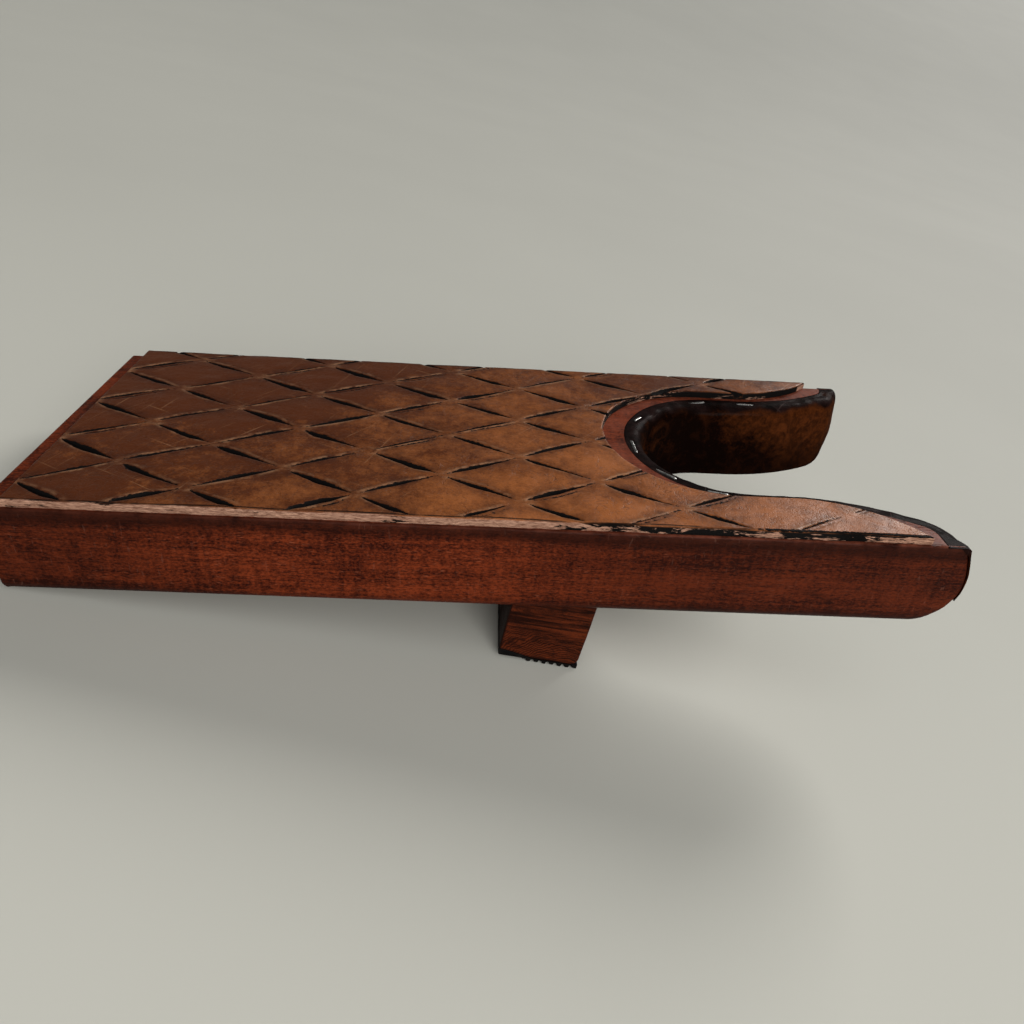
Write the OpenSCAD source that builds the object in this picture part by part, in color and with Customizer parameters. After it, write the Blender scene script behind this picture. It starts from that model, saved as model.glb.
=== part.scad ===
// Boot jack: a sloping hardwood board with a leather top and a lined notch for a boot's heel.
// A cleat under the board lifts the notch, so that the board rests on its heel end and the cleat.
//
// Two frames are used, both in millimetres:
//   board frame  x from the heel end to the prong tips, y across, z up from the underside
//   row frame    the jack as it stands in use, +X towards the notch, +Z up, floor at z = 0,
//                origin under the middle of the whole jack
// module in_use() carries what is drawn in the board frame into the row frame.

/* [Board] */
// Length of the board, from the heel end to the lined prong tips
board_l = 300; // [250:1:380]
// Width of the board
board_w = 120; // [100:1:150]
// Thickness of the board
board_t = 31; // [24:0.5:40]
// Slope of the board in use, in degrees
tilt = 9; // [6:0.5:14]
// Radius under the heel end, where the board meets the floor
heel_r = 3; // [1:0.5:6]
// Radius under the prong tips
tip_under_r = 10; // [4:0.5:14]
// Radius along the bottom edges of both sides
side_r = 4; // [1:0.5:8]

/* [Notch] */
// Radius of the finished notch, inside its lining
notch_r = 32; // [26:0.5:39]
// Depth of the finished notch, from the prong tips
notch_depth = 92; // [72:1:112]
// Straight stretch between the round end and the flare
straight_l = 10; // [2:1:20]
// Radius of the flare towards the prong tips
flare_r = 83; // [66:1:110]
// Radius of the inner corner of each prong tip
tip_r = 14; // [9:0.5:17]
// Sideways place of the notch, from the board's centre line
notch_shift = 2.5; // [-4:0.5:4]

/* [Leather top] */
// Thickness of the leather
leather_t = 3; // [2:0.25:5]
// Bare wood left at the heel end
heel_margin = 7.5; // [2:0.5:20]
// Bare wood left along each side
side_margin = 1.2; // [0.4:0.1:4]
// Leather set back from the notch at its deepest point
crown_margin = 15.3; // [11:0.1:25]
// Leather set back from the notch along its straight sides
prong_margin = 9; // [8:0.25:12]
// Radius of the leather's edge where it runs out along the prongs
leather_flare_r = 50; // [40:1:60]

/* [Notch lining] */
// Thickness of the lining on the notch wall
lining_t = 2; // [1:0.1:3]
// Width of the lining's rim, which is folded over the notch's top edge
rim_w = 7.4; // [5:0.1:7.8]
// Depth of the step in the board that the rim lies in
rim_t = 1.8; // [1:0.1:2.6]

/* [Staples] */
// Length of a staple's crown
crown_l = 10; // [6:0.5:12]
// Length of a staple's legs
leg_l = 8; // [5:0.5:12]
// Width of the staple wire
wire_w = 1.2; // [0.8:0.1:1.6]
// Thickness of the staple wire
wire_t = 0.6; // [0.4:0.1:0.9]
// Distance of the staples from the notch's edge
staple_inset = 5; // [2.5:0.1:6]

/* [Cleat] */
// Distance from the heel end to the cleat, along the board
cleat_x = 160; // [125:1:175]
// Width of the cleat along the floor
cleat_w = 28; // [20:1:36]
// Cleat's ends set back from the board's sides
cleat_inset = 4; // [1:0.5:12]

/* [Cleat tread] */
// Thickness of the rubber tread, with its ribs
tread_t = 3.4; // [2.4:0.1:5]
// Height of a rib
rib_h = 1.2; // [0.6:0.1:1.6]
// Width of a rib
rib_w = 1.5; // [1:0.1:1.8]
// Distance from rib to rib
rib_pitch = 2.75; // [2.4:0.05:4]
// Plain band at the tread's heel side
plain_w = 8; // [0:0.5:8]

/* [Cleat screws] */
// Number of screws
screw_count = 3; // [2:1:4]
// Distance from screw to screw
screw_pitch = 38; // [24:1:40]
// Diameter of a screw's shank
screw_d = 4.5; // [3.5:0.1:5.5]
// Diameter of a screw's countersunk head
head_d = 9; // [8:0.1:11]
// Length of a screw inside the cleat
screw_bite = 15; // [10:0.5:18]
// Clearance round a screw in the board
screw_gap = 0.3; // [0.1:0.05:0.6]
// Interference of a screw's thread in the cleat
thread_grip = 0.2; // [0.1:0.05:0.4]
// Depth of a screw head below the board's top
head_sink = 0.4; // [0.2:0.1:1]

/* [Hidden] */
$fn = 96;

// How far a cutting shape runs past what it cuts
over = 1;

// The notch: a half circle at the crown, a straight stretch, a flare, and the round tip corner
crown_x = board_l - notch_depth;
round_x = crown_x + notch_r;
flare_x = round_x + straight_l;
flare_y = notch_r + flare_r;
tip_x = board_l - tip_r;
tip_y = flare_y - sqrt(pow(flare_r - tip_r, 2) - pow(tip_x - flare_x, 2));
flare_turn = asin((tip_x - flare_x) / (flare_r - tip_r));

// The leather's own, wider edge round the notch
leather_notch_r = notch_r + prong_margin;
leather_round_x = crown_x - crown_margin + leather_notch_r;

// Lowest point of the heel end's round edge, and the middle of the jack's length in use
heel_drop = heel_r * (sin(tilt) + cos(tilt) - 1);
back_x = -board_t * sin(tilt);
front_x = (board_l - tip_under_r) * cos(tilt) - tip_under_r * sin(tilt) + tip_under_r;
middle_x = (back_x + front_x) / 2;

// The cleat, whose sides are upright in use
cleat_back = cleat_x * cos(tilt) - middle_x;
cleat_front = cleat_back + cleat_w;
cleat_len = board_w - 2 * cleat_inset;
screw_x = cleat_x + cleat_w / cos(tilt) / 2;
head_h = (head_d - screw_d) / 2;
rib_count = floor((cleat_w - plain_w - rib_w) / rib_pitch) + 1;

// Places of the staples along the notch's edge, from the crown, driven by hand and so uneven:
// negative on the +Y side, positive on the -Y side
STAPLES = [-109, -90, -67, -45, -19, 4, 22, 38, 63, 90, 113];

// Height of the board's underside above the floor at a place along the row frame's X
function underside(x) = (x + middle_x) * tan(tilt) - heel_drop;

// Lengths of the notch's edge from the crown to the end of each stretch
function round_len() = notch_r * PI / 2;
function straight_end() = round_len() + straight_l;
function flare_end() = straight_end() + flare_r * flare_turn * PI / 180;

// A point set back from the notch's edge, as [x, y, heading], at a length s along that edge
function rim_at(s, inset) =
    s < round_len() ? arc_at(round_x, 0, notch_r + inset, 180 - s / notch_r * 180 / PI, -90)
    : s < straight_end() ? [round_x + s - round_len(), notch_r + inset, 0]
    : s < flare_end() ? arc_at(flare_x, flare_y, flare_r - inset, turned(s - straight_end(), flare_r, -90), 90)
    : arc_at(tip_x, tip_y, tip_r - inset, turned(s - flare_end(), tip_r, flare_turn - 90), 90);
function turned(s, r, start) = start + s / r * 180 / PI;
function arc_at(x, y, r, a, side) = [x + r * cos(a), y + r * sin(a), a + side];

// Carries the board frame into the row frame
module in_use() {
    translate([-middle_x, 0, -heel_drop]) rotate([0, -tilt, 0]) children();
}

// The notch's outline, grown by g into the wood
module notch_void(g) {
    lean = [sin(flare_turn), -cos(flare_turn)];
    translate([round_x, 0]) circle(r = notch_r + g);
    translate([round_x, -notch_r - g]) square([straight_l, 2 * (notch_r + g)]);
    difference() {
        translate([flare_x, -tip_y]) square([board_l + over - flare_x, 2 * tip_y]);
        for (side = [-1, 1]) translate([flare_x, side * flare_y]) circle(r = flare_r - g);
    }
    for (side = [0, 1]) mirror([0, side]) difference() {
        polygon([
            [tip_x, tip_y],
            [tip_x, tip_y] + 1.3 * tip_r * lean,
            [board_l + over, tip_y + 1.3 * tip_r * lean[1]],
            [board_l + over, tip_y]
        ]);
        translate([tip_x, tip_y]) circle(r = tip_r - g);
    }
}

// The board's outline from above, drawn back by g at the notch and the prong ends
module plan(g, wide = 0) {
    difference() {
        translate([-wide, -board_w / 2 - wide]) square([board_l - g + wide, board_w + 2 * wide]);
        translate([0, notch_shift]) notch_void(g);
    }
}

// What a round of radius r leaves to cut away from a corner at the origin
module corner(r) {
    difference() {
        translate([-over, -over]) square(r + over);
        translate([r, r]) circle(r = r);
    }
}

// The board's outline from the side, drawn back by g at the prong ends
module side_view(g) {
    difference() {
        square([board_l - g, board_t]);
        corner(heel_r);
        translate([board_l - g, 0]) mirror([1, 0]) corner(tip_under_r);
    }
}

// The same, run past the heel end, the underside and the top
module side_view_long(g) {
    difference() {
        translate([-over, -over]) square([board_l - g + over, board_t + 2 * over]);
        translate([board_l - g, 0]) mirror([1, 0]) difference() {
            translate([-over, -2 * over]) square([tip_under_r + over, tip_under_r + 2 * over]);
            translate([tip_under_r, tip_under_r]) circle(r = tip_under_r);
        }
    }
}

// The board's outline from the end
module end_view() {
    difference() {
        translate([-board_w / 2, 0]) square([board_w, board_t]);
        for (side = [0, 1]) mirror([side, 0]) translate([-board_w / 2, 0]) corner(side_r);
    }
}

module along_y(w) {
    translate([0, w / 2, 0]) rotate([90, 0, 0]) linear_extrude(w) children();
}

module along_x(w) {
    rotate([90, 0, 90]) linear_extrude(w) children();
}

// The wood's upright walls, with the step for the lining's rim, run past the wood by over
module wood_walls() {
    translate([0, 0, -over]) linear_extrude(board_t + over - rim_t) plan(lining_t, over);
    translate([0, 0, -over]) linear_extrude(board_t + 2 * over) plan(rim_w, over);
}

module screw_places() {
    for (i = [0 : screw_count - 1])
        translate([screw_x, (i - (screw_count - 1) / 2) * screw_pitch, board_t - head_sink]) children();
}

// A countersunk wood screw, its head's top at the origin and its point down
module screw(grow) {
    shank_r = screw_d / 2 + grow;
    shank_l = board_t - head_sink + screw_bite - screw_d;
    translate([0, 0, -head_h]) cylinder(h = head_h, r1 = shank_r, r2 = head_d / 2 + grow);
    translate([0, 0, -shank_l]) cylinder(h = shank_l, r = shank_r);
    translate([0, 0, -shank_l - screw_d]) cylinder(h = screw_d, r1 = 0.3, r2 = shank_r);
}

module board() {
    color("#6b2f1f") in_use() difference() {
        intersection() {
            wood_walls();
            along_y(board_w) side_view(lining_t);
            along_x(board_l) end_view();
        }
        screw_places() {
            screw(screw_gap);
            cylinder(h = head_sink + over, r = head_d / 2 + screw_gap);
        }
    }
}

module leather_top() {
    module leather_void() {
        translate([leather_round_x, 0]) circle(r = leather_notch_r);
        translate([leather_round_x, -leather_notch_r])
            square([flare_x - leather_round_x, 2 * leather_notch_r]);
        difference() {
            translate([flare_x, -board_w]) square([board_l, 2 * board_w]);
            for (side = [-1, 1]) translate([flare_x, side * (leather_notch_r + leather_flare_r)])
                circle(r = leather_flare_r);
        }
    }
    color("#8a5630") in_use() translate([0, 0, board_t]) linear_extrude(leather_t) difference() {
        translate([heel_margin, side_margin - board_w / 2])
            square([board_l - heel_margin, board_w - 2 * side_margin]);
        translate([0, notch_shift]) leather_void();
    }
}

module notch_lining() {
    color("#2a1710") in_use() difference() {
        intersection() {
            linear_extrude(board_t) plan(0);
            along_y(board_w) side_view(0);
            along_x(board_l) end_view();
        }
        intersection() {
            wood_walls();
            along_y(board_w + 4 * over) side_view_long(lining_t);
        }
    }
}

module lining_staples() {
    module staple() {
        translate([-crown_l / 2, -wire_w / 2, 0]) cube([crown_l, wire_w, wire_t]);
        for (end = [-1, 1]) translate([end * (crown_l - wire_t) / 2 - wire_t / 2, -wire_w / 2, -leg_l])
            cube([wire_t, wire_w, leg_l + wire_t / 2]);
    }
    color("#b9b9b6") in_use() translate([0, notch_shift, board_t]) for (s = STAPLES) {
        p = rim_at(abs(s), staple_inset);
        mirror([0, s < 0 ? 0 : 1, 0]) translate([p[0], p[1], 0]) rotate([0, 0, p[2]]) staple();
    }
}

module cleat() {
    color("#54291b") difference() {
        along_y(cleat_len) polygon([
            [cleat_back, tread_t],
            [cleat_front, tread_t],
            [cleat_front, underside(cleat_front)],
            [cleat_back, underside(cleat_back)]
        ]);
        in_use() screw_places() screw(-thread_grip);
    }
}

module cleat_tread() {
    color("#1a1a1a") along_y(cleat_len) {
        translate([cleat_back, rib_h]) square([cleat_w, tread_t - rib_h]);
        for (i = [0 : rib_count - 1])
            translate([cleat_front - rib_w - i * rib_pitch, 0]) square([rib_w, rib_h + 0.01]);
    }
}

module cleat_screws() {
    color("#8d8d88") in_use() screw_places() difference() {
        screw(0);
        for (turn = [0, 90]) rotate([0, 0, turn]) translate([-2.4, -0.5, -1.6]) cube([4.8, 1, 1.6 + over]);
    }
}

board();
leather_top();
notch_lining();
lining_staples();
cleat();
cleat_tread();
cleat_screws();
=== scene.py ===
"""Boot jack: a sloping hardwood board with a carved leather top, a lined heel notch and a cleat."""

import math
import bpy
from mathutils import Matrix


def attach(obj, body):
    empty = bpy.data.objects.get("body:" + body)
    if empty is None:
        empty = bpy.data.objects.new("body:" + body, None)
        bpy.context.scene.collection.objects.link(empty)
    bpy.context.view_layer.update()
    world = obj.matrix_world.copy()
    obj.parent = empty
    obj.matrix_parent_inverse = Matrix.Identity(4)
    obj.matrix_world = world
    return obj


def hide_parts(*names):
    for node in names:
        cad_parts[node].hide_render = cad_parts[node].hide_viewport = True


bl_info = {
    "name": "Boot Jack",
    "version": (1, 0, 0),
    "blender": (4, 5, 0),
    "location": "3D View > Sidebar > Boot Jack",
    "description": "Makes a boot jack with a carved leather top on its packed frame",
    "category": "Add Mesh",
}

from contextlib import contextmanager
from types import SimpleNamespace

import bmesh
import bpy
import numpy as np
from bpy.props import FloatProperty, FloatVectorProperty, IntProperty, PointerProperty
from mathutils import Matrix, Vector

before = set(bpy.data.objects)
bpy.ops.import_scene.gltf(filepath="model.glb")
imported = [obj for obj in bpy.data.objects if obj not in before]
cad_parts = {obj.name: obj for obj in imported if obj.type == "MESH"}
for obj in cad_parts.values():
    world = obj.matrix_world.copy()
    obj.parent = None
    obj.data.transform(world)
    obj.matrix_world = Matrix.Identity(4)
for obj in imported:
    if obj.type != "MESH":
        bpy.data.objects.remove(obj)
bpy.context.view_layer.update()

MM = 1000.0  # millimetres in a metre
HALF_TURN = math.pi
QUARTER_TURN = math.pi / 2


# ---------------------------------------------------------------- sizes and colours


def length(label, about, millimetres):
    """A length that a user would change, given in millimetres and kept in metres."""
    return FloatProperty(name=label, description=about, default=millimetres / MM, unit="LENGTH", precision=5)


def colour(label, about, red, green, blue):
    """A surface colour that a user would change."""
    return FloatVectorProperty(
        name=label, description=about, default=(red, green, blue), subtype="COLOR", min=0.0, max=1.0
    )


class JackBoard(bpy.types.PropertyGroup):
    """Sizes of the wooden board."""

    board_l: length("Length", "Heel end to the lined prong tips", 300)
    board_w: length("Width", "Across the board", 120)
    board_t: length("Thickness", "Underside to top", 31)
    tilt: FloatProperty(name="Slope", description="Slope in use", default=math.radians(9), subtype="ANGLE")
    heel_r: length("Heel round", "Radius under the heel end", 3)
    tip_under_r: length("Tip round", "Radius under the prong tips", 10)
    side_r: length("Side round", "Radius along the bottom edges", 4)
    arris_r: length("Arris", "Radius of the sharp top edges", 0.8)
    corner_r: length("Corner", "Radius of the upright corners", 1.2)
    tip_belly: length("Tip belly", "How far the near prong's end swells at half height", 3.2)


class JackNotch(bpy.types.PropertyGroup):
    """Sizes of the heel notch and its lining."""

    notch_r: length("Radius", "Round end of the lined notch", 32)
    notch_depth: length("Depth", "Prong tips to the notch's round end", 92)
    straight_l: length("Straight", "Between the round end and the flare", 10)
    flare_r: length("Flare", "Radius of the flare towards the tips", 83)
    tip_r: length("Tip corner", "Radius of each prong's inner corner", 14)
    notch_shift: length("Shift", "Notch's place sideways", 2.5)
    lining_t: length("Lining", "Thickness of the lining on the wall", 2)
    rim_w: length("Rim", "Width of the lining's folded rim", 7.4)
    roll_r: length("Roll", "Radius with which the lining rolls over the edge", 5)


class JackLeather(bpy.types.PropertyGroup):
    """Sizes of the leather top and of its carved diamonds."""

    leather_t: length("Thickness", "Leather's thickness", 3)
    heel_margin: length("Heel margin", "Bare wood at the heel end", 7.5)
    side_margin: length("Side margin", "Bare wood along each side", 1.2)
    crown_margin: length("Crown margin", "Set back from the notch's round end", 15.3)
    prong_margin: length("Prong margin", "Set back from the notch's sides", 9)
    leather_flare_r: length("Flare", "Radius where the edge runs out along the prongs", 50)
    half_l: length("Half diamond along", "Half a diamond's length", 25.77)
    half_w: length("Half diamond across", "Half a diamond's width", 14.23)
    cross_x: length("First crossing", "Its distance from the heel end", 32.2)
    cross_y: length("First crossing aside", "Its distance from the middle line", -5.2)
    cut_w: length("Cut width", "Widest part of a carved cut", 3.0)
    cut_d: length("Cut depth", "Deepest part of a carved cut", 1.35)


class JackStaples(bpy.types.PropertyGroup):
    """Sizes of the staples that hold the lining's rim."""

    crown_l: length("Crown", "Length of a staple's crown", 10)
    leg_l: length("Leg", "Length of its legs", 8)
    wire_w: length("Wire width", "Width of the wire", 1.2)
    wire_t: length("Wire thickness", "Thickness of the wire", 0.6)
    staple_inset: length("Inset", "Distance from the notch's edge", 5)


class JackCleat(bpy.types.PropertyGroup):
    """Sizes of the cleat and its rubber tread."""

    cleat_x: length("Place", "Heel end to the cleat along the board", 160)
    cleat_w: length("Width", "Along the floor", 28)
    cleat_inset: length("Inset", "Ends set back from the board's sides", 4)
    tread_t: length("Tread", "Thickness with its ribs", 3.4)
    rib_h: length("Rib height", "Height of a rib", 1.2)
    rib_w: length("Rib width", "Width of a rib", 1.5)
    rib_pitch: length("Rib pitch", "From rib to rib", 2.75)
    plain_w: length("Plain band", "Smooth band at the heel side", 8)
    rib_count: IntProperty(name="Ribs", description="Number of ribs", default=7, min=1, max=12)


class JackColours(bpy.types.PropertyGroup):
    """Colours of the jack's finishes."""

    wood_light: colour("Wood, light", "Light grain of the board", 0.192, 0.032, 0.0090)
    wood_dark: colour("Wood, dark", "Dark grain of the board", 0.024, 0.0030, 0.0012)
    cleat_light: colour("Cleat, light", "Light grain of the cleat", 0.110, 0.020, 0.0055)
    cleat_dark: colour("Cleat, dark", "Dark grain of the cleat", 0.008, 0.0016, 0.0008)
    leather_gold: colour("Leather, golden", "Where the leather is rubbed", 0.344, 0.111, 0.031)
    leather_brown: colour("Leather, brown", "The leather's main colour", 0.088, 0.0225, 0.0066)
    leather_flesh: colour("Leather, cut edge", "The leather's flesh at its edges", 0.60, 0.34, 0.235)
    # light end of the lining's mottle, which its painted light leans towards near the far tip
    lining_warm: colour("Lining, worn", "Where the lining is rubbed", 0.070, 0.0175, 0.0040)
    lining_dark: colour("Lining, dark", "The lining's main colour", 0.0035, 0.0009, 0.0004)
    floor_pale: colour("Floor", "The floor's colour", 0.52, 0.52, 0.47)


SIZE_GROUPS = {
    "jack_board": JackBoard,
    "jack_notch": JackNotch,
    "jack_leather": JackLeather,
    "jack_staples": JackStaples,
    "jack_cleat": JackCleat,
    "jack_colours": JackColours,
}

# Tuned numbers of the shapes, in millimetres unless another unit is given
NOTCH_TOP_R = 3.6  # round of the board's edge under the lining's roll
NOTCH_LOW_R = 0.8  # round of the board's lower edge in the notch
END_TOP_R = 0.8  # round of the board's upper edge at the prong ends
RIM_STEP = 0.9  # step in the board's top for the rim, halved at the prong ends
FAR_BELLY = 0.35  # share of the near prong's belly that the far one has
TIP_FLARE = 1.45  # how far the prongs' outer corners reach past their lining's plane
NEAR_POINT_SHARE = 0.94  # reach of the leather's point on the near prong, as a share of its arc
NOTCH_SIDE_X = 180  # past this far from the heel end, the leather's edge belongs to the notch or a prong
PRONG_SIDE_Y = 20  # past this far from the middle line, the leather lies on a prong
STAPLE_PRESS = 0.40  # how deep a staple presses the rim
END_LIFT = 4.2  # how far the lining's lower end stands off the underside at a prong's outer corner
TREAD_WEAR = 2.05  # how much thinner the tread is at its front than at its heel side
TIP_CUTS = (290.5, 292, 293.5, 295, 296.3, 297.3)  # where the board's faces are cut to bend at its tips
CORNER_STEPS = 5  # points round an upright corner of the board
ARC_STEPS = 90  # points round the notch's half circle in the leather
PICKS = 20  # random numbers are kept for this many cuts either side of the first crossing
SCRIBE_Y = 0.0581  # where a line is scribed along each side of the leather, in metres

# Places of the staples along the notch's edge from its crown, in millimetres: negative on the +Y side
STAPLES = (-109, -90, -67, -45, -19, 4, 22, 38, 63, 90, 113)
# How far each one is driven below the rim's face, in millimetres
SUNK = (1.30, 1.24, 0.86, 0.84, 0.96, 0.72, 0.78, 0.94, 1.12, 1.30, 1.28)


def jack_sizes():
    """Every size in millimetres, every angle in radians, and the sizes that follow from them."""
    j = SimpleNamespace()
    for place in SIZE_GROUPS:
        group = getattr(bpy.context.scene, place)
        for prop in group.bl_rna.properties:
            if prop.identifier in ("rna_type", "name"):
                continue
            value = getattr(group, prop.identifier)
            if getattr(prop, "unit", "") == "LENGTH":
                value = value * MM
            setattr(j, prop.identifier, value)
    j.crown_x = j.board_l - j.notch_depth
    j.round_x = j.crown_x + j.notch_r
    j.flare_x = j.round_x + j.straight_l
    j.flare_y = j.notch_r + j.flare_r
    j.tip_x = j.board_l - j.tip_r
    reach = j.flare_r - j.tip_r
    run = j.tip_x - j.flare_x
    j.tip_y = j.flare_y - math.sqrt(reach**2 - run**2)
    j.flare_turn = math.asin(run / reach)
    j.round_len = j.notch_r * QUARTER_TURN
    j.straight_end = j.round_len + j.straight_l
    j.flare_end = j.straight_end + j.flare_r * j.flare_turn
    j.tip_end = j.flare_end + j.tip_r * (QUARTER_TURN - j.flare_turn)
    j.end_far = j.board_w / 2 - j.tip_y - j.notch_shift
    j.end_near = j.board_w / 2 - j.tip_y + j.notch_shift
    j.heel_drop = j.heel_r * (math.sin(j.tilt) + math.cos(j.tilt) - 1)
    back_x = -j.board_t * math.sin(j.tilt)
    front_x = (j.board_l - j.tip_under_r) * math.cos(j.tilt)
    front_x = front_x - j.tip_under_r * math.sin(j.tilt) + j.tip_under_r
    j.middle_x = (back_x + front_x) / 2
    j.cleat_back = j.cleat_x * math.cos(j.tilt) - j.middle_x
    j.cleat_front = j.cleat_back + j.cleat_w
    j.cleat_len = j.board_w - 2 * j.cleat_inset
    j.leather_notch_r = j.notch_r + j.prong_margin
    j.leather_round_x = j.crown_x - j.crown_margin + j.leather_notch_r
    return j


# ---------------------------------------------------------------- shared shape functions


def in_use(j, points):
    """Carries board-frame millimetres to row-frame metres: turned up by the slope, then moved so that
    the heel touches the floor and the jack's middle stands over the origin."""
    cos_t = math.cos(j.tilt)
    sin_t = math.sin(j.tilt)
    x = points[..., 0] * cos_t - points[..., 2] * sin_t - j.middle_x
    z = points[..., 0] * sin_t + points[..., 2] * cos_t - j.heel_drop
    return np.stack([x, points[..., 1], z], axis=-1) / MM


def notch_edge(j, s, inset):
    """A point set back by inset from the notch's edge at signed length s along it from the crown: a half
    circle, a straight, a flare, the prong's round corner, then the prong's end. Negative s is the +Y side."""
    s, inset = np.broadcast_arrays(np.asarray(s, float), np.asarray(inset, float))
    along = np.abs(s)
    side = np.where(s < 0, 1.0, -1.0)
    turn = HALF_TURN - along / j.notch_r
    x_round = j.round_x + (j.notch_r + inset) * np.cos(turn)
    y_round = (j.notch_r + inset) * np.sin(turn)
    x_straight = j.round_x + along - j.round_len
    y_straight = j.notch_r + inset
    turn = (along - j.straight_end) / j.flare_r - QUARTER_TURN
    x_flare = j.flare_x + (j.flare_r - inset) * np.cos(turn)
    y_flare = j.flare_y + (j.flare_r - inset) * np.sin(turn)
    turn = (along - j.flare_end) / j.tip_r + j.flare_turn - QUARTER_TURN
    x_tip = j.tip_x + (j.tip_r - inset) * np.cos(turn)
    y_tip = j.tip_y + (j.tip_r - inset) * np.sin(turn)
    x_end = j.board_l - inset
    y_end = j.tip_y + along - j.tip_end
    stretches = [along < j.round_len, along < j.straight_end, along < j.flare_end, along < j.tip_end]
    x = np.select(stretches, [x_round, x_straight, x_flare, x_tip], x_end)
    y = np.select(stretches, [y_round, y_straight, y_flare, y_tip], y_end)
    return x, side * y + j.notch_shift


def under_tip(j, x):
    """Height of the underside near the prong tips: a quarter round of radius tip_under_r."""
    past = np.clip(x - (j.board_l - j.tip_under_r), 0, j.tip_under_r)
    return j.tip_under_r - np.sqrt(j.tip_under_r**2 - past**2)


def lift_tips(j, points):
    """Squeezes heights evenly between the rounded underside of the prong tips and the board's top, then
    bellies the prong ends forward at half height, the near one most."""
    low = under_tip(j, points[..., 0])
    z = points[..., 2]
    lifted = np.where(z < j.board_t, low + z * (j.board_t - low) / j.board_t, z)
    high = np.clip(lifted / j.board_t, 0, 1)
    belly = np.sin(HALF_TURN * high) ** 1.3 * smooth(0.06, 0.45, high)
    share = np.where(points[..., 1] < 0, 1.0, FAR_BELLY)
    x = points[..., 0] + j.tip_belly * share * belly * smooth(j.board_l - 14, j.board_l - 1, points[..., 0])
    return np.stack([x, points[..., 1], lifted], axis=-1)


def ripple(seed, points, size, waves=9):
    """A smooth random field of about -1 to 1: a sum of plane waves of wavelength near size, each with a
    seeded direction and phase, divided by the root of their number."""
    rng = np.random.default_rng(seed)
    direction = rng.normal(size=(waves, points.shape[-1]))
    direction /= np.linalg.norm(direction, axis=1, keepdims=True)
    pitch = size * rng.uniform(0.7, 1.5, size=(waves, 1))
    phase = rng.uniform(0, 2 * HALF_TURN, size=waves)
    angle = points @ (direction / pitch * 2 * HALF_TURN).T + phase
    return np.sin(angle).sum(axis=-1) / math.sqrt(waves)


def smooth(low, high, value):
    """0 below low, 1 above high, and an S-shaped cubic between."""
    t = np.clip((value - low) / (high - low), 0, 1)
    return t * t * (3 - 2 * t)


def bell(value, width):
    """A bell curve of height 1."""
    return np.exp(-((value / width) ** 2) / 2)


def grid_quads(rows, columns, wrap_rows=False, wrap_columns=False):
    """Corner numbers of the quads of a rows by columns grid, which may close on itself either way."""
    row = np.arange(rows if wrap_rows else rows - 1)[:, None]
    column = np.arange(columns if wrap_columns else columns - 1)[None, :]
    next_row = (row + 1) % rows
    next_column = (column + 1) % columns
    corners = [
        row * columns + column,
        row * columns + next_column,
        next_row * columns + next_column,
        next_row * columns + column,
    ]
    return np.stack(corners, axis=-1).reshape(-1, 4)


@contextmanager
def editing(mesh):
    """The mesh's parts to work on, put back into it at the end."""
    work = bmesh.new()
    work.from_mesh(mesh)
    yield work
    work.to_mesh(mesh)
    work.free()


def mesh_of(name, points, quads, caps=()):
    """A mesh from an array of points in metres, quads, and many-sided caps, its doubles merged and its
    faces turned outwards."""
    mesh = bpy.data.meshes.new(name)
    faces = quads.tolist() + [list(map(int, cap)) for cap in caps]
    mesh.from_pydata(points.reshape(-1, 3).tolist(), [], faces)
    with editing(mesh) as work:
        bmesh.ops.remove_doubles(work, verts=work.verts, dist=2e-6)
        bmesh.ops.dissolve_degenerate(work, edges=work.edges, dist=1e-6)
        bmesh.ops.recalc_face_normals(work, faces=work.faces)
    return mesh


def ring_mesh(name, rings):
    """A mesh of closed rings in their order, with a many-sided cap on the first and on the last."""
    rows, columns = rings.shape[:2]
    caps = [np.arange(columns), np.arange(columns) + (rows - 1) * columns]
    return mesh_of(name, rings, grid_quads(rows, columns, wrap_columns=True), caps)


def show(name, data):
    """An object of that name with that data, linked into the scene."""
    thing = bpy.data.objects.new(name, data)
    bpy.context.scene.collection.objects.link(thing)
    return thing


def mesh_points(mesh):
    """The mesh's vertex places as an array."""
    flat = np.empty(len(mesh.vertices) * 3)
    mesh.vertices.foreach_get("co", flat)
    return flat.reshape(-1, 3)


def set_points(mesh, points):
    """Puts an array of places into the mesh."""
    mesh.vertices.foreach_set("co", points.reshape(-1))
    mesh.update()


def back_to_board(j, points):
    """The opposite of in_use: row-frame metres to board-frame millimetres."""
    cos_t = math.cos(j.tilt)
    sin_t = math.sin(j.tilt)
    x = points[..., 0] * MM + j.middle_x
    z = points[..., 2] * MM + j.heel_drop
    return np.stack([x * cos_t + z * sin_t, points[..., 1] * MM, z * cos_t - x * sin_t], axis=-1)


def note(mesh, name, values):
    """Stores one number per vertex for the materials to read."""
    attribute = mesh.attributes.new(name, "FLOAT", "POINT")
    attribute.data.foreach_set("value", np.asarray(values, np.float32))


def place_piece(mesh, name, finish, sharp=38):
    """Shows the mesh as a piece that rides on the jack and stands for the CAD node of its name, which it
    hides, and gives it the finish."""
    mesh.shade_smooth()
    mesh.set_sharp_from_angle(angle=math.radians(sharp))
    mesh.materials.append(finish)
    piece = show(name + "_piece", mesh)
    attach(piece, "root")
    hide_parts(name)


# ---------------------------------------------------------------- material nodes

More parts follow.
